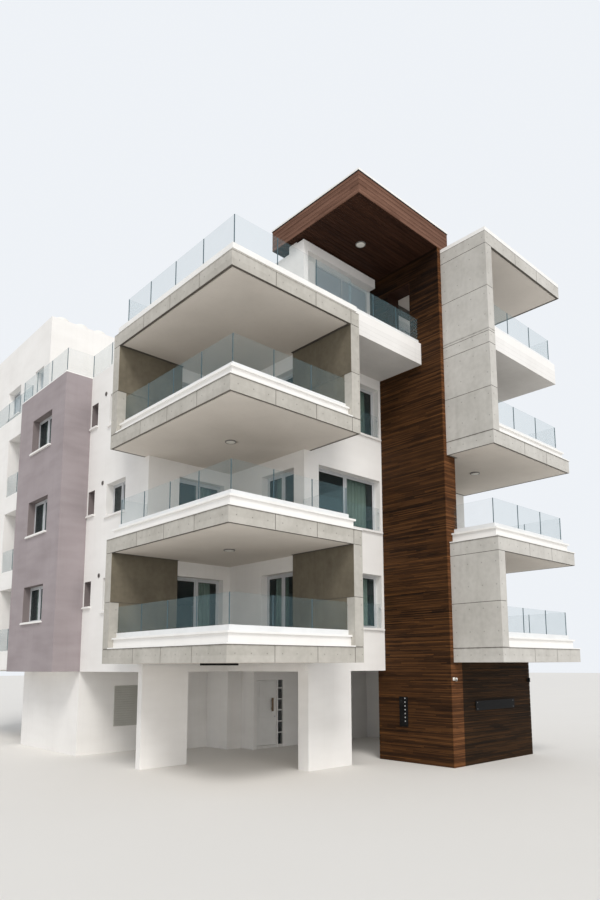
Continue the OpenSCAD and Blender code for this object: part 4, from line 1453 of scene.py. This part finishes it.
@dataclass
class Fittings:
    """Lamps, vents, intercom, plaque, camera, louvre and the entrance's trim."""

    fin_front: float = FIN_Y
    lamp_radius: float = 0.16
    lamp_rim: float = 0.024
    lamp_places: tuple[Point, ...] = (
        (2.2, 2.95, level(2)), (2.2, 2.95, level(3)), (5.8, 1.08, CANOPY),
        (10.13, 0.0, level(3)))
    vent_y: float = 8.7
    vent_drop: float = 0.25
    vent_radius: float = 0.058
    vent_slats: int = 5
    panel_deep: float = 0.03
    buttons: int = 7
    button_foot: float = 1.225
    button_pitch: float = 0.115
    plate: Span = (8.86, 11.08, 1.56, 1.85)
    plate_deep: Pair = (0.03, 0.018)
    plate_screws: Span = (8.95, 10.99, 1.61, 1.8)
    louvre: Span = (2.42, 3.36, 0.88, 2.26)
    louvre_face: float = 9.87
    louvre_rim: float = 0.05
    louvre_rows: int = 16
    door_face: float = 7.04
    door_span: Pair = (6.54, 7.392)
    door_panels: tuple[Pair, ...] = ((0.36, 1.02), (1.08, 1.74), (1.8, 2.36))
    sidelight: Pair = (7.456, 7.696)
    sidelight_bars: int = 5
    pull_x: float = 7.146
    pull_rise: Pair = (1.29, 1.77)

    def build(self) -> None:
        """Builds every fitting."""
        self.lamps()
        self.vents()
        self.intercom()
        self.plaque()
        self.corner_camera()
        self.entrance()
        self.store_louvre()

    def lamps(self) -> None:
        """Round lamps with a rim and an opal cover, and the car port's strip."""
        rims = Workpiece("lamp_rims", LAMP_GREY, "aluminium")
        covers = Workpiece("lamp_covers", OPAL, "lamp")
        radius, axis = self.lamp_radius, Vector((0, 0, 1))
        inner = radius - self.lamp_rim
        rim = [(inner, -0.034), (radius - 0.006, -0.034), (radius, -0.028), (radius, 0.0),
               (inner, 0.0), (inner, -0.034)]
        cover = [(0.0, -0.045), (radius * 0.5, -0.042), (radius * 0.75, -0.037),
                 (inner, -0.026), (inner, -0.001), (0.0, -0.001)]
        for place in self.lamp_places:
            rims.turned(rim, place, axis)
            covers.turned(cover, place, axis)
        rims.finished(smooth=True)
        covers.finished("ceiling_lamps", smooth=True)
        strip = Workpiece("car_port_strip_lamp", BLACK, "dark_metal")
        strip.block((1.33, 2.89, level(1) - 0.06), (2.53, 3.01, level(1)), 0.008)
        strip.finished()

    def vents(self) -> None:
        """Round louvred vents in the side wall."""
        vents = Workpiece("wall_vents", VENT, "tank")
        throats = Workpiece("vent_throats", BLACK, "dark_metal")
        y, r, axis = self.vent_y, self.vent_radius, Vector((-1, 0, 0))
        rim = [(r + 0.004, 0.0), (0.075, 0.004), (0.075, 0.018), (r, 0.022), (r, 0.0),
               (r + 0.004, 0.0)]
        throat = [(0.0, 0.006), (r, 0.006), (r, 0.0), (0.0, 0.0)]
        for storey in (1, 2, 3):
            z = level(storey + 1) - self.vent_drop
            vents.turned(rim, (SIDE_X, y, z), axis, 28)
            throats.turned(throat, (SIDE_X, y, z), axis, 28)
            for k in range(self.vent_slats):
                off = (k - (self.vent_slats - 1) / 2) * 0.022
                half = math.sqrt((r - 0.002) ** 2 - off ** 2)
                vents.block((SIDE_X - 0.016, y - half, z + off - 0.003),
                            (SIDE_X - 0.004, y + half, z + off + 0.003))
        vents.finished()
        throats.finished()

    def intercom(self) -> None:
        """Dark panel with a camera eye, a speaker and round call buttons."""
        panel = Workpiece("intercom_plate", BLACK, "dark_metal")
        face = FIN_X - self.panel_deep
        panel.block((face, 1.14, 1.06), (FIN_X + 0.002, 1.46, 1.96), 0.006)
        for k in range(4):
            z = 1.15 + k * 0.02
            panel.block((face - 0.004, 1.33, z), (face + 0.002, 1.42, z + 0.008), 0.001)
        panel.finished("intercom_panel")
        buttons = Workpiece("intercom_buttons", ALUMINIUM, "aluminium")
        for k in range(self.buttons):
            z = self.button_foot + k * self.button_pitch
            buttons.rod((face, 1.23, z), (face - 0.006, 1.23, z), 0.022, 0.02)
        buttons.finished(smooth=True)
        eye = Workpiece("intercom_eye", SEAL, "dark_metal")
        eye.turned([(0.0, 0.008), (0.016, 0.006), (0.02, 0.0), (0.0, 0.0)],
                   (face, 1.38, 1.84), Vector((-1, 0, 0)), 24)
        eye.finished(smooth=True)

    def plaque(self) -> None:
        """Bare dark sign plate on four stand-offs with their screws."""
        plate = Workpiece("bare_sign_plate", BLACK, "dark_metal")
        caps = Workpiece("sign_plate_screws", ALUMINIUM, "aluminium")
        x0, x1, z0, z1 = self.plate
        y0, y1 = (self.fin_front - deep for deep in self.plate_deep)
        plate.block((x0, y0, z0), (x1, y1, z1), 0.003)
        for x in self.plate_screws[:2]:
            for z in self.plate_screws[2:]:
                plate.rod((x, y1, z), (x, self.fin_front + 0.001, z), 0.012)
                caps.rod((x, y0, z), (x, y0 - 0.004, z), 0.009, 0.007, 16)
        plate.finished("sign_plaque")
        caps.finished(smooth=True)

    def corner_camera(self) -> None:
        """Small white camera on the fin and a lamp on the sign wall."""
        camera = Workpiece("corner_camera", PLASTIC, "tank")
        x, z, y = 7.79, 2.52, self.fin_front
        camera.block((x - 0.045, y - 0.03, z - 0.045), (x + 0.045, y, z + 0.045), 0.008)
        camera.rod((x, y - 0.03, z), (x - 0.02, y - 0.07, z - 0.01), 0.018)
        mouth = (x - 0.07, y - 0.14, z - 0.03)
        camera.rod((x + 0.05, y - 0.07, z + 0.005), mouth, 0.036, 0.032)
        camera.finished(smooth=True)
        lens = Workpiece("camera_lens", SEAL, "dark_metal")
        lens.rod(mouth, (x - 0.076, y - 0.143, z - 0.032), 0.024)
        lens.finished(smooth=True)
        lamp = Workpiece("sign_wall_lamp", BLACK, "dark_metal")
        lamp.block((11.97, y - 0.03, 2.36), (12.07, y, 2.48), 0.006)
        lamp.rod((12.02, y - 0.06, 2.35), (12.02, y - 0.06, 2.49), 0.035)
        lamp.finished(smooth=True)

    def store_louvre(self) -> None:
        """Grey louvred cabinet door on the store's front wall."""
        louvre = Workpiece("store_louvre", LOUVRE, "dark_metal")
        x0, x1, z0, z1 = self.louvre
        face, rim = self.louvre_face, self.louvre_rim
        louvre.ring(Side.FRONT, face, self.louvre, (-0.03, 0.0), rim, 0.003)
        louvre.block((x0 + rim, face - 0.006, z0 + rim), (x1 - rim, face, z1 - rim))
        pitch = (z1 - z0 - rim * 2) / self.louvre_rows
        for k in range(self.louvre_rows):
            foot = z0 + rim + k * pitch
            louvre.block((x0 + rim + 0.001, face - 0.024, foot + 0.01),
                         (x1 - rim - 0.001, face - 0.006, foot + pitch * 0.72), 0.004)
        louvre.finished()

    def entrance(self) -> None:
        """Raised panels, lock and flat pull of the door, and the sidelight's bars."""
        face, (x0, x1) = self.door_face, self.door_span
        trim = Workpiece("door_panels", DOOR_PAINT, "door_paint", "lobby_door")
        for low, high in self.door_panels:
            trim.block((x0 + 0.06, face - 0.006, low), (x1 - 0.3, face + 0.001, high), 0.003)
        trim.finished()
        lock = Workpiece("door_lock", ALUMINIUM, "aluminium", "lobby_door")
        x, z = x1 - 0.06, 1.1
        lock.rod((x, face - 0.012, z), (x, face + 0.001, z), 0.026, 0.03)
        lock.rod((x, face - 0.014, z), (x, face - 0.011, z), 0.012)
        lock.finished(smooth=True)
        bars = Workpiece("sidelight_bars", DOOR_PAINT, "door_paint")
        for k in range(self.sidelight_bars):
            z = 0.5 + k * 0.4
            bars.block((self.sidelight[0], face + 0.005, z),
                       (self.sidelight[1], face + 0.021, z + 0.035), 0.004)
        bars.finished()
        pull = Workpiece("door_flat_pull", BRASS, "brass", "lobby_door")
        x, (foot, top) = self.pull_x, self.pull_rise
        pull.block((x, face - 0.06, foot), (x + 0.09, face - 0.045, top), 0.004)
        for z in (foot + 0.09, top - 0.09):
            pull.rod((x + 0.045, face - 0.046, z), (x + 0.045, face, z), 0.012)
            pull.rod((x + 0.045, face - 0.004, z), (x + 0.045, face + 0.001, z), 0.02)
        pull.finished("lobby_door_pull", smooth=True)


@dataclass(frozen=True)
class Sun:
    """A broad parallel light."""

    name: str
    energy: float
    spread: float
    colour: Point
    source: Point

    def shine(self) -> None:
        """Adds the light to the scene."""
        data = bpy.data.lights.new(self.name, "SUN")
        data.energy = self.energy
        data.angle = math.radians(self.spread)
        data.color = self.colour
        lamp = bpy.data.objects.new(self.name, data)
        lamp.rotation_euler = Vector(self.source).to_track_quat("Z", "Y").to_euler()
        bpy.context.scene.collection.objects.link(lamp)


@dataclass
class Stage:
    """Pale floor, soft light and the camera of the reference view."""

    eye: Point = (-15.0709, -21.2552, 2.92)
    yaw: float = 43.412
    pitch: float = 8.149
    roll: float = -0.259
    lens: float = 26.813
    sensor: float = 36.0
    picture: Pair = (600, 900)
    centre: Pair = (313.1, 569.8)
    reach: float = 600.0
    floor_size: float = 220.0
    floor_drop: float = 0.002
    sky: Tone = (0.9, 0.94, 1.0, 1.0)
    sky_strength: float = 0.64
    backdrop: Tone = (0.86, 0.89, 0.93, 1.0)
    suns: tuple[Sun, ...] = (
        Sun("broad_sun", 1.65, 20, (1.0, 0.975, 0.94), (-0.58, -0.82, 1.0)),
        Sun("low_fill", 0.85, 50, (1.0, 0.97, 0.93), (-0.35, -0.9, 0.16)))

    def build(self) -> None:
        """Builds the floor, the light and the camera."""
        self.floor()
        self.light()
        self.camera()

    def floor(self) -> None:
        """A wide pale floor that keeps the block's shadow."""
        sheet = Sheet("pale_floor")
        cloud = sheet.noise(0.3, 3.0)
        sheet.set(Base_Color=sheet.mix(cloud * 0.3, shade(230, 227, 222), shade(220, 217, 211)),
                  Roughness=0.9)
        mesh = bmesh.new()
        bmesh.ops.create_grid(mesh, x_segments=8, y_segments=8, size=self.floor_size)
        bmesh.ops.translate(mesh, vec=(0, 0, -self.floor_drop), verts=mesh.verts[:])
        data = bpy.data.meshes.new("stage_floor")
        mesh.to_mesh(data)
        mesh.free()
        data.materials.append(sheet.material)
        floor = bpy.data.objects.new("stage_floor", data)
        bpy.context.scene.collection.objects.link(floor)

    def light(self) -> None:
        """A pale sky all round, a broad sun from the left front and a low fill."""
        world = bpy.data.worlds.new("pale_sky")
        bpy.context.scene.world = world
        world.use_nodes = True
        tree = world.node_tree
        sky = tree.nodes["Background"]
        sky.inputs["Color"].default_value = self.sky
        sky.inputs["Strength"].default_value = self.sky_strength
        back = tree.nodes.new("ShaderNodeBackground")
        back.inputs["Color"].default_value = self.backdrop
        path = tree.nodes.new("ShaderNodeLightPath")
        seen = tree.nodes.new("ShaderNodeMath")
        seen.operation = "MAXIMUM"
        tree.links.new(path.outputs["Is Camera Ray"], seen.inputs[0])
        tree.links.new(path.outputs["Is Transmission Ray"], seen.inputs[1])
        blend = tree.nodes.new("ShaderNodeMixShader")
        tree.links.new(seen.outputs[0], blend.inputs[0])
        tree.links.new(sky.outputs[0], blend.inputs[1])
        tree.links.new(back.outputs[0], blend.inputs[2])
        tree.links.new(blend.outputs[0], tree.nodes["World Output"].inputs["Surface"])
        for sun in self.suns:
            sun.shine()
        bpy.context.scene.view_settings.view_transform = "Standard"

    def camera(self) -> None:
        """The camera of the reference view."""
        yaw, pitch, roll = (math.radians(a) for a in (self.yaw, self.pitch, self.roll))
        ahead = Vector((math.sin(yaw) * math.cos(pitch), math.cos(yaw) * math.cos(pitch),
                        math.sin(pitch)))
        flat = Vector((math.cos(yaw), -math.sin(yaw), 0.0))
        rise = flat.cross(ahead)
        across = math.cos(roll) * flat + math.sin(roll) * rise
        up = -math.sin(roll) * flat + math.cos(roll) * rise
        turn = Matrix((across, up, -ahead)).transposed().to_4x4()
        data = bpy.data.cameras.new("street_camera")
        data.lens = self.lens
        data.sensor_width = self.sensor
        wide, high = self.picture
        data.shift_x = (wide / 2 - self.centre[0]) / high
        data.shift_y = (self.centre[1] - high / 2) / high
        data.clip_end = self.reach
        camera = bpy.data.objects.new("street_camera", data)
        camera.matrix_world = Matrix.Translation(self.eye) @ turn
        bpy.context.scene.collection.objects.link(camera)
        bpy.context.scene.camera = camera


def dress(frame: dict) -> None:
    """Gives every carried-over node the finish of its slot.
    """
    for part in frame["record"]["subparts"]:
        node = frame["nodes"][part["node"]]
        finish = NODE_FINISH.get(part["node"], SLOT_FINISH[part["material_slot"]])
        node.data.materials.clear()
        node.data.materials.append(finish.material())
    LOG.info("dressed %d nodes", len(frame["nodes"]))


def main() -> None:
    """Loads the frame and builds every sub-assembly."""
    logging.basicConfig(level=logging.INFO, format="%(message)s")
    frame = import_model()
    dress(frame)
    for assembly in (Cladding(), Joinery(), Floors(), RailGlass(frame), RoofTanks(),
                     Fittings(), Stage()):
        assembly.build()
        LOG.info("%s built", type(assembly).__name__)


if __name__ == "__main__":
    main()
